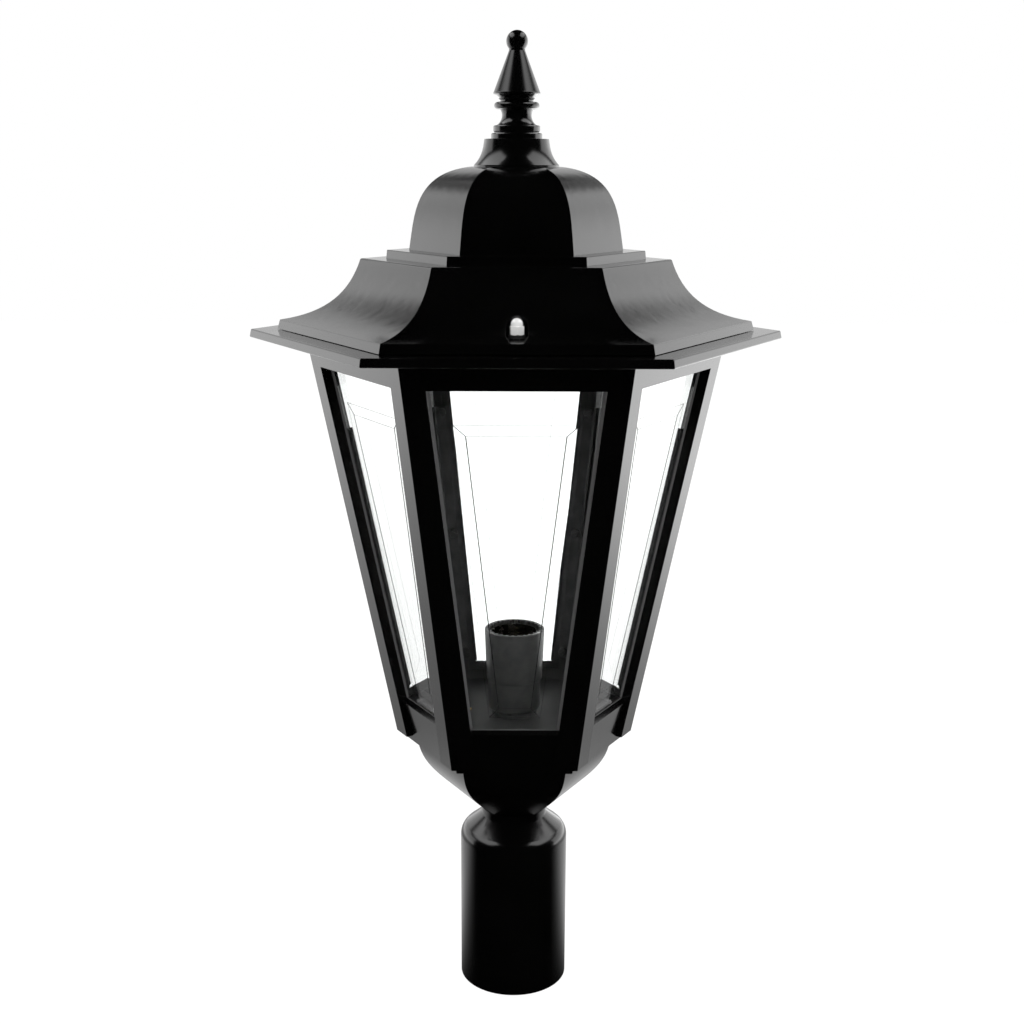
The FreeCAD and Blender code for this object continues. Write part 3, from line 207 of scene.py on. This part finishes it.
def between(ends, share):
    """The number that lies this share of the way from the first end to the second."""
    return ends[0] + (ends[1] - ends[0]) * share


def about_post(degrees):
    """The turn that brings the front of the lantern to another of its six sides."""
    return Matrix.Rotation(math.radians(degrees), 3, "Z")


print("the cage leans by", round(math.degrees(math.atan(CAGE_LEAN)), 1), "degrees")

# %% [markdown]
# The castings are aluminium under a black semi-gloss coat. A real coat isn't a mirror: it has a faint orange
# peel from the spray gun, and it is a little glossier where it ran thicker. The edges of the castings were
# dressed before the coat went on, so each one has a hairline round that catches the light. A Bevel node gives
# that round to the light alone. A Bevel modifier could do it in the mesh, but the CAD mesh is made of long
# triangles that it would tear. Inside the cage the coat is painted a lighter grey, rougher and with less
# clear coat: this grey is painted light, standing in for the light that falls in through the panes.

# %% Black semi-gloss coat
COAT_EDGE_ROUND = 0.35 * MM
ORANGE_PEEL_SIZE = 1.8 * MM
ORANGE_PEEL_DEPTH = 0.008 * MM
# the last of these is the painted light inside the cage
FULL_COAT_DARK, FULL_COAT_LIGHT, PAINTED_INTERIOR_GREY = 0.0005, 0.0014, 0.080
CAGE_FLOOR, CAGE_CEILING = 171 * MM, 404 * MM
INSIDE_FROM = 5.73 * MM
INSIDE_FADE = 0.4 * MM


def painted_interior_light(graph):
    """1 on the inner faces of the cage and on its floor, where the coat gets painted light, 0 on everything
    outside.
    """
    reach, height = graph.six_sided(graph.place())
    inner_wall = SIN_60 * CAGE_CORNERS[0] - INSIDE_FROM + CAGE_LEAN * (height - CAGE_BASE)
    within = graph.fade(inner_wall - reach, 0.0, INSIDE_FADE)
    above_floor = graph.fade(height, CAGE_FLOOR, CAGE_FLOOR + MM)
    return within * above_floor * (1 - graph.fade(height, CAGE_CEILING, CAGE_CEILING + MM))


def black_coat(graph):
    rounded = graph.node("ShaderNodeBevel", {"samples": 4}, {"Radius": COAT_EDGE_ROUND})
    peel = graph.noise(ORANGE_PEEL_SIZE, detail=2.0)
    cloud = graph.noise(28 * MM, detail=4.0)
    painted_light_inside = painted_interior_light(graph)
    outside_black = graph.colours(cloud, grey(FULL_COAT_DARK), grey(FULL_COAT_LIGHT))
    return {
        # painted light: inside the cage the base colour is a lighter grey that stands in for light coming in
        # through the panes
        "Base Color": graph.colours(painted_light_inside, outside_black, grey(PAINTED_INTERIOR_GREY)),
        "Roughness": 0.15 + 0.10 * cloud + 0.35 * painted_light_inside,
        "Normal": graph.bump(peel, ORANGE_PEEL_DEPTH, rounded),
        "Coat Weight": 1 - 0.9 * painted_light_inside,
        "Coat Roughness": 0.11,
        "Coat IOR": 1.5,
        "IOR": 1.5,
    }


finish("black_coat", "black_semi_gloss_coat", black_coat)

# %% [markdown]
# The panes are clear float glass with ground and polished bevels. The bevels are real slopes in the CAD
# mesh, and the glass needs no picture of what lies behind it, because it is solid and refracts. All that
# the shader adds is a trace of green in the glass and a slight haze, as on glass that was wiped and not
# polished. The cut edges of a pane are ground and sit in sealant, so they are a dull grey; their normal
# tells them from the faces.

# %% Bevelled glass
WIPE_SIZE = 45 * MM
CLEAN_TINT, HAZY_TINT = (0.985, 0.995, 0.990, 1.0), (0.975, 0.985, 0.980, 1.0)
CUT_EDGE_GREY = 0.07


def clear_glass(graph):
    haze = graph.fade(graph.noise(WIPE_SIZE, detail=5.0, roughness=0.6), 0.45, 0.8)
    return {
        "Base Color": graph.colours(haze, CLEAN_TINT, HAZY_TINT),
        "Roughness": 0.010 * haze,
        "Transmission Weight": 1.0,
        "IOR": 1.52,
    }


def cut_edge(graph):
    """1 on the edges of a pane, whose normals don't point out of one of the six sides, and their look."""
    facing, _ = graph.six_sided(graph.node("ShaderNodeNewGeometry", output="True Normal"))
    return 1 - graph.fade(facing, 0.90, 0.95), {"Base Color": grey(CUT_EDGE_GREY), "Roughness": 0.7}


finish("clear_glass", "bevelled_clear_glass", clear_glass, cut_edge)

# %% [markdown]
# The nuts and screws are metal. The dome nuts have a satin plate, and their almost white look is mostly
# painted reflection: a matt white share stands in for the bright things that the plate mirrors. Zinc-plated
# steel is cloudy and a little blue, stainless steel shows the lines of the tool that turned it, and the
# nickel shell is painted dark as painted shade for the deep inside of the lampholder. One recipe makes them
# all, because they differ only in colour, in how rough they are and in how coarse their cloud is.

# %% Bare and plated metals
TOOL_MARK_SIZE = 0.25 * MM
NUT_MIRROR = 0.22


def metal(light, dark, rough, rough_more, cloud_size, mark_depth, share=1.0):
    """A recipe for a metal that varies in colour and shine; with a share below 1 it scatters light too."""

    def recipe(graph):
        cloud = graph.noise(cloud_size, detail=4.0, roughness=0.6)
        marks = graph.noise(TOOL_MARK_SIZE, detail=2.0)
        return {
            "Base Color": graph.colours(graph.fade(cloud, 0.35, 0.7), (*light, 1.0), (*dark, 1.0)),
            "Metallic": share,
            "Roughness": rough + rough_more * cloud,
            "Normal": graph.bump(marks, mark_depth),
        }

    return recipe


# each row: the finish's name, its light and dark colour, its roughness and how far that rises, the size of
# its cloud, the depth of its marks and, on the nuts, the share that is mirror-like
METALS = {
    # painted reflection: the nuts' matt, almost white share stands in for the bright things that the plate
    # mirrors
    "bright_nut": ("satin_plated_nut", (0.96, 0.96, 0.95), (0.90, 0.90, 0.89), 0.20, 0.08, 3 * MM, 1e-6,
                   NUT_MIRROR),
    "stainless": ("turned_stainless", (0.63, 0.62, 0.60), (0.52, 0.51, 0.50), 0.18, 0.16, 4 * MM, 2e-6),
    "zinc_steel": ("zinc_plated_steel", (0.62, 0.64, 0.68), (0.50, 0.51, 0.53), 0.24, 0.20, 5 * MM, 3e-6),
    # painted shade: the nickel shell's dark colour stands in for the deep shade inside the lampholder
    "nickel_plate": ("nickel_plated_shell", (0.30, 0.29, 0.27), (0.20, 0.19, 0.18), 0.20, 0.14, 5 * MM, 2e-6),
    "brass": ("turned_brass", (0.80, 0.60, 0.28), (0.66, 0.46, 0.20), 0.18, 0.18, 5 * MM, 2e-6),
}
for slot_name, (metal_name, *look) in METALS.items():
    finish(slot_name, metal_name, metal(*look))

# %% [markdown]
# The lampholder is pressed from black phenolic resin, which has a fine flow pattern and a soft shine. The
# contact carrier inside it is glazed white ceramic, the terminal block is milky nylon, the strips that hold
# the panes have a thin black coat, and the seals are matt black rubber. These surfaces are all non-metals,
# so again one recipe serves them.

# %% Moulded and fired pieces


def moulded(light, dark, rough, rough_more, cloud_size, grain_size, grain_depth, coat=0.0):
    """A recipe for a non-metal with a cloud in its colour and shine, and a fine grain."""

    def recipe(graph):
        cloud = graph.noise(cloud_size, detail=5.0, roughness=0.55)
        grain = graph.noise(grain_size, detail=3.0)
        return {
            "Base Color": graph.colours(graph.fade(cloud, 0.3, 0.7), light, dark),
            "Roughness": rough + rough_more * cloud,
            "Normal": graph.bump(grain, grain_depth),
            "Coat Weight": coat,
            "Coat Roughness": 0.1,
        }

    return recipe


finish("black_phenolic", "black_phenolic_resin",
       moulded(grey(0.105), grey(0.080), 0.24, 0.12, 6 * MM, 0.4 * MM, 4e-6, coat=0.5))
finish("white_ceramic", "glazed_white_ceramic",
       moulded((0.80, 0.79, 0.75, 1), (0.74, 0.73, 0.69, 1), 0.30, 0.10, 8 * MM, 1.2 * MM, 6e-6, coat=0.6))
finish("white_nylon", "milky_nylon",
       moulded((0.72, 0.72, 0.68, 1), (0.66, 0.66, 0.62, 1), 0.38, 0.12, 7 * MM, 0.5 * MM, 5e-6))
finish("clip_steel", "black_coated_strip",
       moulded(grey(0.075), grey(0.050), 0.40, 0.12, 9 * MM, 0.8 * MM, 4e-6))
finish("rubber", "matt_black_rubber",
       moulded(grey(0.020), grey(0.012), 0.62, 0.20, 4 * MM, 0.35 * MM, 2e-5))

# %% [markdown]
# Each node's material in model.glb carries its slot in its name, so every CAD node can now be dressed by
# looking that name up. The mesh itself isn't touched: only what its material slot holds changes.

# %% Dress the CAD nodes
for node_name, node in sorted(frame["nodes"].items()):
    slot_name = node.material_slots[0].material.name.split(".")[0]
    for material_slot in node.material_slots:
        material_slot.material = finishes[slot_name]
print("dressed", len(frame["nodes"]), "CAD nodes")

# %% [markdown]
# A few pieces are made again with finer shapes than the CAD file holds. A new piece takes the place of its
# CAD node: it rides on the same body, and the node itself stays behind for collision. One function does
# this for all of them.

# %% A piece from points and faces
cad_slots = {row["slot"] for row in frame["record"]["materials"]}
BAR_FACES = ((0, 3, 2, 1), (4, 5, 6, 7), (0, 1, 5, 4), (1, 2, 6, 5), (2, 3, 7, 6), (3, 0, 4, 7))


def place_mesh(name, mesh, slot_name, body, *nodes):
    """One object that rides on a body, and stands for the CAD nodes that are named."""
    mesh.materials.clear()
    mesh.materials.append(finishes[slot_name])
    piece = bpy.data.objects.new(name, mesh)
    bpy.context.scene.collection.objects.link(piece)
    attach(piece, body)
    if nodes:
        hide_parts(*nodes)
    slot_name in cad_slots
    print(name, "has", len(mesh.polygons), "faces")


def mesh_piece(name, points, faces, slot_name, body, *nodes):
    """The same for a mesh that is given as points and faces."""
    mesh = bpy.data.meshes.new(name)
    mesh.from_pydata(points, [], faces)
    place_mesh(name, mesh, slot_name, body, *nodes)


def add_bar(points, faces, corners, flipped=False):
    """Adds a bar with four corners at each end to the points and faces of a mesh."""
    first = len(points)
    points.extend(corners)
    for face in BAR_FACES:
        faces.append(tuple(first + corner for corner in (reversed(face) if flipped else face)))


# %% [markdown]
# The bevels of the photograph bend the view behind them only a little, so they are very shallow. Each pane
# is copied here with its raised middle brought down until it stands 0.06 mm proud of its border. A vertex
# of the middle or of a bevel is told by how far it stands out of the plane of the border.

# %% Panes with a shallow bevel
BEVEL_KEPT = 0.2
# the right-hand corners of the front pane's two rectangles, low and high
FRONT_BEVEL = {"outer": ((0.0145, -0.0613, 0.1946), (0.0332, -0.0919, 0.3687)),
               "inner": ((0.0092, -0.0626, 0.2004), (0.0265, -0.0912, 0.3625))}
PANE_TURNS = {"pane_front": 0, "pane_front_right": 60, "pane_rear_right": 120, "pane_rear": 180,
              "pane_rear_left": 240, "pane_front_left": 300}


def bevel_corners(mesh, turn):
    """The outer and the inner rectangle of a pane's bevel, as corner points of its mesh."""
    points = [vertex.co.copy() for vertex in mesh.vertices]
    rectangles = []
    for low, high in FRONT_BEVEL.values():
        corners = ((-low[0], *low[1:]), low, high, (-high[0], *high[1:]))
        spots = [turn @ Vector(corner) for corner in corners]
        rectangles.append([min(points, key=lambda point: (point - spot).length) for spot in spots])
    return rectangles


pane_rectangles = []
for pane_name, degrees in PANE_TURNS.items():
    pane_mesh = frame["nodes"][pane_name].data.copy()
    border, _ = bevel_corners(pane_mesh, about_post(degrees))
    outward = (border[1] - border[0]).cross(border[3] - border[0]).normalized()
    for vertex in pane_mesh.vertices:
        proud = (vertex.co - border[0]).dot(outward)
        if proud > 0:
            vertex.co -= outward * proud * (1 - BEVEL_KEPT)
    place_mesh("bevelled_" + pane_name, pane_mesh, "clear_glass", "lantern", pane_name)
    pane_rectangles.append((*bevel_corners(pane_mesh, about_post(degrees)), outward))

# %% [markdown]
# Where the grinding wheel met the face of the glass, each bevel keeps a fine dull line, its arris. The
# photograph shows them as thin dark lines: two rectangles, one in the other, and a mitre in each corner.
# They are thin raised ribs here, laid from corner to corner of the bevels. Their almost black colour is
# painted shade: it stands in for the dark that the bevels bend into view along each arris. They are widest
# on the panes beside the front one and thinnest on the rear panes, where none shows in the photograph.

# %% Bevel arrises
ARRIS_HEIGHT = 0.03 * MM
ARRIS_SINK = 0.006 * MM
ARRIS_WIDTHS = {"upright": 0.50 * MM, "level": 0.13 * MM, "mitre": 0.34 * MM, "outer": 0.12 * MM}
# the share of these widths on the front pane, on the two beside it and on the three behind
ARRIS_SHARES = {"front": 1.0, "beside": 1.8, "rear": 0.25}


def arris_painted_shade(graph):
    broken = graph.fade(graph.noise(2.5 * MM, detail=3.0), 0.30, 0.55)
    # painted shade: the almost black colour stands in for the dark that the bevels show along their arrises
    return {"Base Color": grey(0.010), "Roughness": 0.45, "Alpha": 0.74 + 0.24 * broken}


finish("ground_line", "ground_glass_line", arris_painted_shade)
rib_points, rib_faces = [], []


def rib(start, end, outward, width):
    """Adds a thin bar along an arris from start to end."""
    side = (end - start).cross(outward).normalized() * (width / 2)
    sunk, proud = outward * -ARRIS_SINK, outward * ARRIS_HEIGHT
    section = (sunk - side, sunk + side, proud + side, proud - side)
    add_bar(rib_points, rib_faces, [point + offset for point in (start, end) for offset in section])


for outer, inner, outward in pane_rectangles:
    share = ARRIS_SHARES["rear" if outward.y > 0.1 else "front" if outward.y < -0.9 else "beside"]
    for here, there in ((0, 1), (1, 2), (2, 3), (3, 0)):
        inner_width = ARRIS_WIDTHS["level" if here % 2 == 0 else "upright"]
        rib(outer[here], outer[there], outward, share * ARRIS_WIDTHS["outer"])
        rib(inner[here], inner[there], outward, share * inner_width)
        rib(outer[here], inner[here], outward, share * ARRIS_WIDTHS["mitre"])
mesh_piece("bevel_arrises", rib_points, rib_faces, "ground_line", "lantern")

# %% [markdown]
# Each pane is bedded in grey sealant. Along the posts a fillet of it shows inside the window: it fills the
# corner between the glass and the side of the post, and it is wider towards the top.

# %% Sealant beside the posts
WINDOW_HEIGHTS = (187.5 * MM, 387.8 * MM)
FILLET_WIDTHS = (1.2 * MM, 1.5 * MM)
FILLET_RISE, FILLET_EDGE = 0.8 * MM, 0.1 * MM
SEALANT_LIGHT, SEALANT_DARK = 0.095, 0.070


def window_edge(height):
    """Half of the front window's width at a height, and the y of the pane's face there."""
    climb = (height - CAGE_BASE) / CAGE_RISE
    (_, low_y, low_z), (_, high_y, high_z) = FRONT_BEVEL["outer"]
    face = between((low_y, high_y), (height - low_z) / (high_z - low_z))
    return between(CAGE_CORNERS, climb) / 2 - between(POST_WIDTHS, climb), face


def grey_sealant(graph):
    cloud = graph.noise(5 * MM, detail=3.0)
    return {"Base Color": graph.colours(cloud, grey(SEALANT_LIGHT), grey(SEALANT_DARK)),
            "Roughness": 0.5 + 0.1 * cloud}


def fillet_end(side, height, width):
    """The four corners of a fillet's section at a height, on the left or the right of the front window."""
    edge, face = window_edge(height)
    section = ((edge, 0), (edge - width, 0), (edge - width, FILLET_EDGE), (edge, FILLET_RISE))
    return [Vector((side * reach, face - rise, height)) for reach, rise in section]


finish("sealant", "grey_glazing_sealant", grey_sealant)
fillet_points, fillet_faces = [], []
for degrees in PANE_TURNS.values():
    for side in (-1, 1):
        ends = [fillet_end(side, height, width) for height, width in zip(WINDOW_HEIGHTS, FILLET_WIDTHS)]
        corners = [about_post(degrees) @ corner for end in ends for corner in end]
        add_bar(fillet_points, fillet_faces, corners, flipped=side < 0)
mesh_piece("sealant_fillets", fillet_points, fillet_faces, "sealant", "lantern")

# %% [markdown]
# The photograph shows that the lampholder's skirt narrows towards its foot and that its rim is toothed for
# the fingers. A turned piece is a profile of radius and height carried round in steps, and the teeth push
# some of its radii outwards.

# %% Toothed skirt
SKIRT_TEETH = 28
STEPS_PER_TOOTH = 8
TOOTH_GAP_DEPTH = 1.25 * MM
TOOTH_LENGTH = 2.4 * MM
skirt_low, skirt_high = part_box("lampholder_skirt")
skirt_foot, skirt_top = skirt_low[2], skirt_high[2]
SKIRT_RADIUS = skirt_high[0]
SKIRT_FOOT_RADIUS = SKIRT_RADIUS - 1.1 * MM
SKIRT_BORE = SKIRT_RADIUS - 2.4 * MM
SKIRT_LIP = SKIRT_RADIUS - 1.9 * MM
LIP_HEIGHT = 2.4 * MM
# each row: radius, height, and the share of a tooth gap that moves it outwards
SKIRT_PROFILE = [
    (SKIRT_LIP, skirt_foot, 0),
    (SKIRT_FOOT_RADIUS - 0.3 * MM, skirt_foot, 0),
    (SKIRT_FOOT_RADIUS, skirt_foot + 0.4 * MM, 0),
    (SKIRT_RADIUS - 0.05 * MM, skirt_top - 0.9 * MM, 0),
    (SKIRT_RADIUS - 0.15 * MM, skirt_top - 0.3 * MM, 0),
    (SKIRT_RADIUS - 0.5 * MM, skirt_top, 0),
    (SKIRT_BORE - 0.2 * MM, skirt_top, 1),
    (SKIRT_BORE - 0.4 * MM, skirt_top - 0.3 * MM, 1),
    (SKIRT_BORE - 0.4 * MM, skirt_top - TOOTH_LENGTH, 1),
    (SKIRT_BORE, skirt_top - TOOTH_LENGTH - 0.1 * MM, 0),
    (SKIRT_BORE, skirt_foot + LIP_HEIGHT, 0),
    (SKIRT_LIP, skirt_foot + LIP_HEIGHT, 0),
]


def turned(profile, steps):
    """The points and faces of a closed profile that is carried round in steps, with its tooth gaps."""
    points, rows = [], len(profile)
    for step in range(steps):
        angle = 2 * math.pi * step / steps
        gap = TOOTH_GAP_DEPTH if step % STEPS_PER_TOOTH < STEPS_PER_TOOTH // 2 else 0
        for radius, height, share in profile:
            reach = radius + share * gap
            points.append((reach * math.cos(angle), reach * math.sin(angle), height))
    faces = [(step * rows + row, ((step + 1) % steps) * rows + row,
              ((step + 1) % steps) * rows + (row + 1) % rows, step * rows + (row + 1) % rows)
             for step in range(steps) for row in range(rows)]
    return points, faces


skirt_points, skirt_faces = turned(SKIRT_PROFILE, SKIRT_TEETH * STEPS_PER_TOOTH)
mesh_piece("toothed_skirt", skirt_points, skirt_faces, "black_phenolic", "lantern", "lampholder_skirt")

# %% [markdown]
# The studs and the hollow stems are plain rods in the CAD file. Here they get their real threads: each ring
# of points is turned a little further than the last, and its radius dips and rises with the height, so the
# groove winds upwards. The first and the last turn are chamfered down to the root.

# %% Threaded rods
RING_STEPS = 24
RINGS_PER_TURN = 6
THREAD_DEPTH = 0.6


def threaded_rod(spot, radius, bore, low, high, pitch):
    """The points and faces of one threaded rod or tube; bore is 0 for a solid rod."""
    depth = THREAD_DEPTH * pitch
    rings = max(2, round((high - low) / pitch * RINGS_PER_TURN))
    points, faces = [], []
    for ring in range(rings + 1):
        height = low + (high - low) * ring / rings
        edge = min(height - low, high - height)
        for step in range(RING_STEPS):
            angle = 2 * math.pi * step / RING_STEPS
            turns = (height / pitch - step / RING_STEPS) % 1
            reach = radius - depth * max(abs(2 * turns - 1), 1 - edge / depth)
            points.append((spot[0] + reach * math.cos(angle), spot[1] + reach * math.sin(angle), height))
    for ring in range(rings):
        for step in range(RING_STEPS):
            here, beside = ring * RING_STEPS + step, ring * RING_STEPS + (step + 1) % RING_STEPS
            faces.append((here, beside, beside + RING_STEPS, here + RING_STEPS))
    last = rings * RING_STEPS
    if not bore:
        faces.append(tuple(reversed(range(RING_STEPS))))
        faces.append(tuple(range(last, last + RING_STEPS)))
        return points, faces
    first = len(points)
    for height in (low, high):
        for step in range(RING_STEPS):
            angle = 2 * math.pi * step / RING_STEPS
            points.append((spot[0] + bore * math.cos(angle), spot[1] + bore * math.sin(angle), height))
    for step in range(RING_STEPS):
        beside = (step + 1) % RING_STEPS
        faces.append((step, first + step, first + beside, beside))
        faces.append((last + step, last + beside, first + RING_STEPS + beside, first + RING_STEPS + step))
        faces.append((first + step, first + RING_STEPS + step, first + RING_STEPS + beside, first + beside))
    return points, faces


STUD_REACH = 95.99 * MM
STUD_SPOTS = [(STUD_REACH * math.cos(math.radians(azimuth)), STUD_REACH * math.sin(math.radians(azimuth)))
              for azimuth in (-90, 30, 150)]
AXIS = [(0.0, 0.0)]
# each row: node, body, finish, pitch, bore radius, rod radius and the rods' places
RODS = [
    ("roof_studs", "lantern", "stainless", 0.7 * MM, 0, 2 * MM, STUD_SPOTS),
    ("stem", "lantern", "zinc_steel", 1.5 * MM, 6 * MM, 8 * MM, AXIS),
    ("lampholder_stem", "lantern", "zinc_steel", 1.0 * MM, 3.5 * MM, 5 * MM, AXIS),
    ("finial_stud", "roof", "zinc_steel", 1.25 * MM, 0, 4 * MM, AXIS)]
for node_name, body, slot_name, pitch, bore, radius, spots in RODS:
    low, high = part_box(node_name)
    rod_points, rod_faces = [], []
    for spot in spots:
        points, faces = threaded_rod(spot, radius, bore, low[2], high[2], pitch)
        rod_faces += [tuple(len(rod_points) + corner for corner in face) for face in faces]
        rod_points += points
    mesh_piece("threaded_" + node_name, rod_points, rod_faces, slot_name, body, node_name)

# %% [markdown]
# The lantern was photographed on a white ground that burnt out to pure white, while the room in front of it
# was dark: that is why its front is black and its sides shine. Every surface of the studio therefore
# answers three questions. Seen straight or through clear glass it is white. Seen in a shiny coat it is
# white behind the lantern and dark in front. To a matt surface it is an even soft light. A ray's own record
# tells which of them is asked.

# %% What a ray has met


def ray_record(graph, first):
    """Two masks: one for rays that met nothing but glass, and one for rays that left a matt surface.

    A straight ray's depth is first, which is 0 on a surface and 1 in the world.
    """
    depth = graph.node("ShaderNodeLightPath", output="Ray Depth")
    panes_met = graph.node("ShaderNodeLightPath", output="Transmission Depth")
    matt_met = graph.node("ShaderNodeLightPath", output="Diffuse Depth")
    unbent = 1 - graph.fade(depth - panes_met, first + 0.2, first + 0.8)
    return unbent, graph.fade(matt_met, 0.2, 0.8)


def brighter_in_glass(graph, plain, more):
    """A strength for what the camera sees: more of it where the ray comes straight out of a pane."""
    return plain + more * graph.node("ShaderNodeLightPath", output="Is Transmission Ray")


# %% [markdown]
# The floor is a plain white sheet. The camera sees white with a little of the real light mixed in, so the
# lantern keeps its shadow. Glass takes some light, and the windows of the photograph are as white as its
# background, so the white is a little stronger where it shows through a pane. In the coat the floor is
# brighter right beside the post, and it grows much brighter far away, most of all on the right.

# %% The floor
FLOOR_REACH = 4.0
FLOOR_SEEN, FLOOR_SEEN_IN_GLASS = 0.895, 0.40
FLOOR_LIT = 0.16
GLOW_EVERYWHERE, GLOW_AT_POST, GLOW_FAR = 0.26, 0.24, 0.82
RIGHT_GLOW, RIGHT_GLOW_FAR = 0.04, 0.60
POST_GLOW_ENDS = (0.19, 0.34)
FAR_GLOW_FROM, FAR_GLOW_FULL, FAR_GLOW_RIGHT = 0.20, 1.6, 0.4

floor_mesh = bpy.data.meshes.new("studio_floor")
floor_corners = [(-FLOOR_REACH, -FLOOR_REACH, 0), (FLOOR_REACH, -FLOOR_REACH, 0),
                 (FLOOR_REACH, FLOOR_REACH, 0), (-FLOOR_REACH, FLOOR_REACH, 0)]
floor_mesh.from_pydata(floor_corners, [], [(0, 1, 2, 3)])
floor = bpy.data.objects.new("studio_floor", floor_mesh)
bpy.context.scene.collection.objects.link(floor)

floor_material = bpy.data.materials.new("white_floor")
floor_material.use_nodes = True
sheet = Graph(floor_material.node_tree)
unbent, matt = ray_record(sheet, 0)
across, along, _ = sheet.split(sheet.place())
from_post = sheet.node("ShaderNodeVectorMath", {"operation": "LENGTH"}, {0: sheet.place()}, output="Value")
right_side = sheet.fade(across, -0.1, 0.3)
far = sheet.fade(from_post, FAR_GLOW_FROM, FAR_GLOW_FULL - FAR_GLOW_RIGHT * right_side)
glow = GLOW_EVERYWHERE + GLOW_AT_POST * (1 - sheet.fade(from_post, *POST_GLOW_ENDS))
glow = glow + RIGHT_GLOW * right_side + (GLOW_FAR + RIGHT_GLOW_FAR * right_side) * far
in_coat = sheet.fade(along, -0.03, 0.10) * glow
seen = brighter_in_glass(sheet, FLOOR_SEEN, FLOOR_SEEN_IN_GLASS)
white = sheet.node("ShaderNodeEmission", None, {"Color": grey(1.0), "Strength": seen})
shaded = sheet.node("ShaderNodeBsdfDiffuse", None, {"Color": grey(FLOOR_LIT)})
shown = sheet.node("ShaderNodeAddShader", None, {0: white, 1: shaded})
paper = sheet.node("ShaderNodeBsdfDiffuse", None, {"Color": grey(0.8)})
mirrored = sheet.node("ShaderNodeEmission", None, {"Color": grey(1.0), "Strength": in_coat})
sheet.node("ShaderNodeOutputMaterial", None,
           {"Surface": sheet.mix_shader(unbent, sheet.mix_shader(matt, mirrored, paper), shown)})
floor_material.cycles.emission_sampling = "NONE"
floor_mesh.materials.append(floor_material)
print("floor:", 2 * FLOOR_REACH, "m square")

# %% [markdown]
# The world is the rest of the studio. In the coat it is a white cloth behind the lantern and a white panel
# high up on either side. The cloth is brighter to the sides than in the middle, dims above the horizon and
# ends some 21 to 29 degrees up. A ray that a matt surface sends out finds an even light from every side.

# %% The world
CLOTH_MIDDLE, CLOTH_TO_SIDES, CLOTH_TO_RIGHT = 0.70, 0.62, 0.1
CLOTH_DIMS, CLOTH_ENDS = (0.0, 0.25), (0.36, 0.48)
CLOTH_DIMMED = 0.30
PANEL_GLOW = 1.35
EVEN_LIGHT = 0.7
WORLD_SEEN, WORLD_SEEN_IN_GLASS = 1.0, 0.32

world = bpy.data.worlds.new("studio")
bpy.context.scene.world = world
world.use_nodes = True
room = Graph(world.node_tree)
unbent, matt = ray_record(room, 1)
side, back, up = room.split(room.node("ShaderNodeTexCoord", output="Generated"))
cloth_dims = CLOTH_DIMMED * room.fade(up, *CLOTH_DIMS) + (1 - CLOTH_DIMMED) * room.fade(up, *CLOTH_ENDS)
cloth = CLOTH_MIDDLE + CLOTH_TO_SIDES * room.fade(side.size(), 0.2, 0.7) + CLOTH_TO_RIGHT * side
cloth = cloth * (1 - cloth_dims) * room.fade(back, 0.0, 0.15)
panels = PANEL_GLOW * room.fade(side.size(), 0.40, 0.45) * room.fade(up, 0.45, 0.62)
panels = panels * room.fade(back, -0.55, -0.35)
not_straight = matt * EVEN_LIGHT + (1 - matt) * cloth.or_larger(panels)
strength = unbent * brighter_in_glass(room, WORLD_SEEN, WORLD_SEEN_IN_GLASS) + (1 - unbent) * not_straight
background = room.node("ShaderNodeBackground", None, {"Color": grey(1.0), "Strength": strength})
room.node("ShaderNodeOutputWorld", None, {"Surface": background})
world.cycles.sampling_method = "NONE"
print("world: white to the camera, a cloth in the coat, an even light on matt surfaces")

# %% [markdown]
# Large soft lamps light the matt pieces and the floor: two hang behind the lantern, and one stands behind
# the camera. What the coat and the nuts mirror is drawn by the floor and the world, so the lamps are left
# out of reflections.

# %% The lamps


def softbox(name, place, target, size, power):
    """A square soft lamp that faces a point."""
    lamp = bpy.data.lights.new(name, "AREA")
    lamp.shape = "SQUARE"
    lamp.size = size
    lamp.energy = power
    box = bpy.data.objects.new(name, lamp)
    box.location = place
    box.rotation_euler = (Vector(target) - Vector(place)).to_track_quat("-Z", "Y").to_euler()
    box.visible_camera = False
    box.visible_glossy = False
    bpy.context.scene.collection.objects.link(box)
    print(name, "at", place, "with", power, "W")


softbox("lamp_behind_left", (-1.5, 1.1, 1.7), (-0.3, 0.2, 0.2), 0.9, 12)
softbox("lamp_behind_right", (1.5, 1.1, 1.7), (0.3, 0.2, 0.2), 0.9, 18)
softbox("lamp_in_front", (0.3, -1.9, 1.5), (0.0, 0.0, 0.4), 1.1, 22)

# %% [markdown]
# The camera stands where the photographer's did: 0.83 m in front of the lantern, level with the top of its
# dome and tilted down 13.4 degrees. The place, the tilt and the focal length were fitted to points of the
# photograph. The lantern was turned 0.19 degrees there, which the camera takes over by going round it.

# %% The camera
PHOTO_SIDE = 1024
FOCAL_PIXELS = 1432.9
SENSOR_WIDTH = 36.0
CAMERA_PLACE = Vector((-0.0018, -0.8289, 0.4980))
TILT_DOWN = 13.40
IMAGE_ROLL = 0.224
LANTERN_TURN = 0.19

camera_data = bpy.data.cameras.new("camera")
camera_data.sensor_width = SENSOR_WIDTH
camera_data.lens = FOCAL_PIXELS / PHOTO_SIDE * SENSOR_WIDTH
camera = bpy.data.objects.new("camera", camera_data)
bpy.context.scene.collection.objects.link(camera)
around = Matrix.Rotation(math.radians(-LANTERN_TURN), 4, "Z")
tilt = Matrix.Rotation(math.radians(90 - TILT_DOWN), 4, "X")
roll = Matrix.Rotation(math.radians(IMAGE_ROLL), 4, "Z")
camera.matrix_world = around @ Matrix.Translation(CAMERA_PLACE) @ tilt @ roll
bpy.context.scene.camera = camera
bpy.context.scene.view_settings.view_transform = "Standard"
print("camera lens:", round(camera_data.lens, 2), "mm")
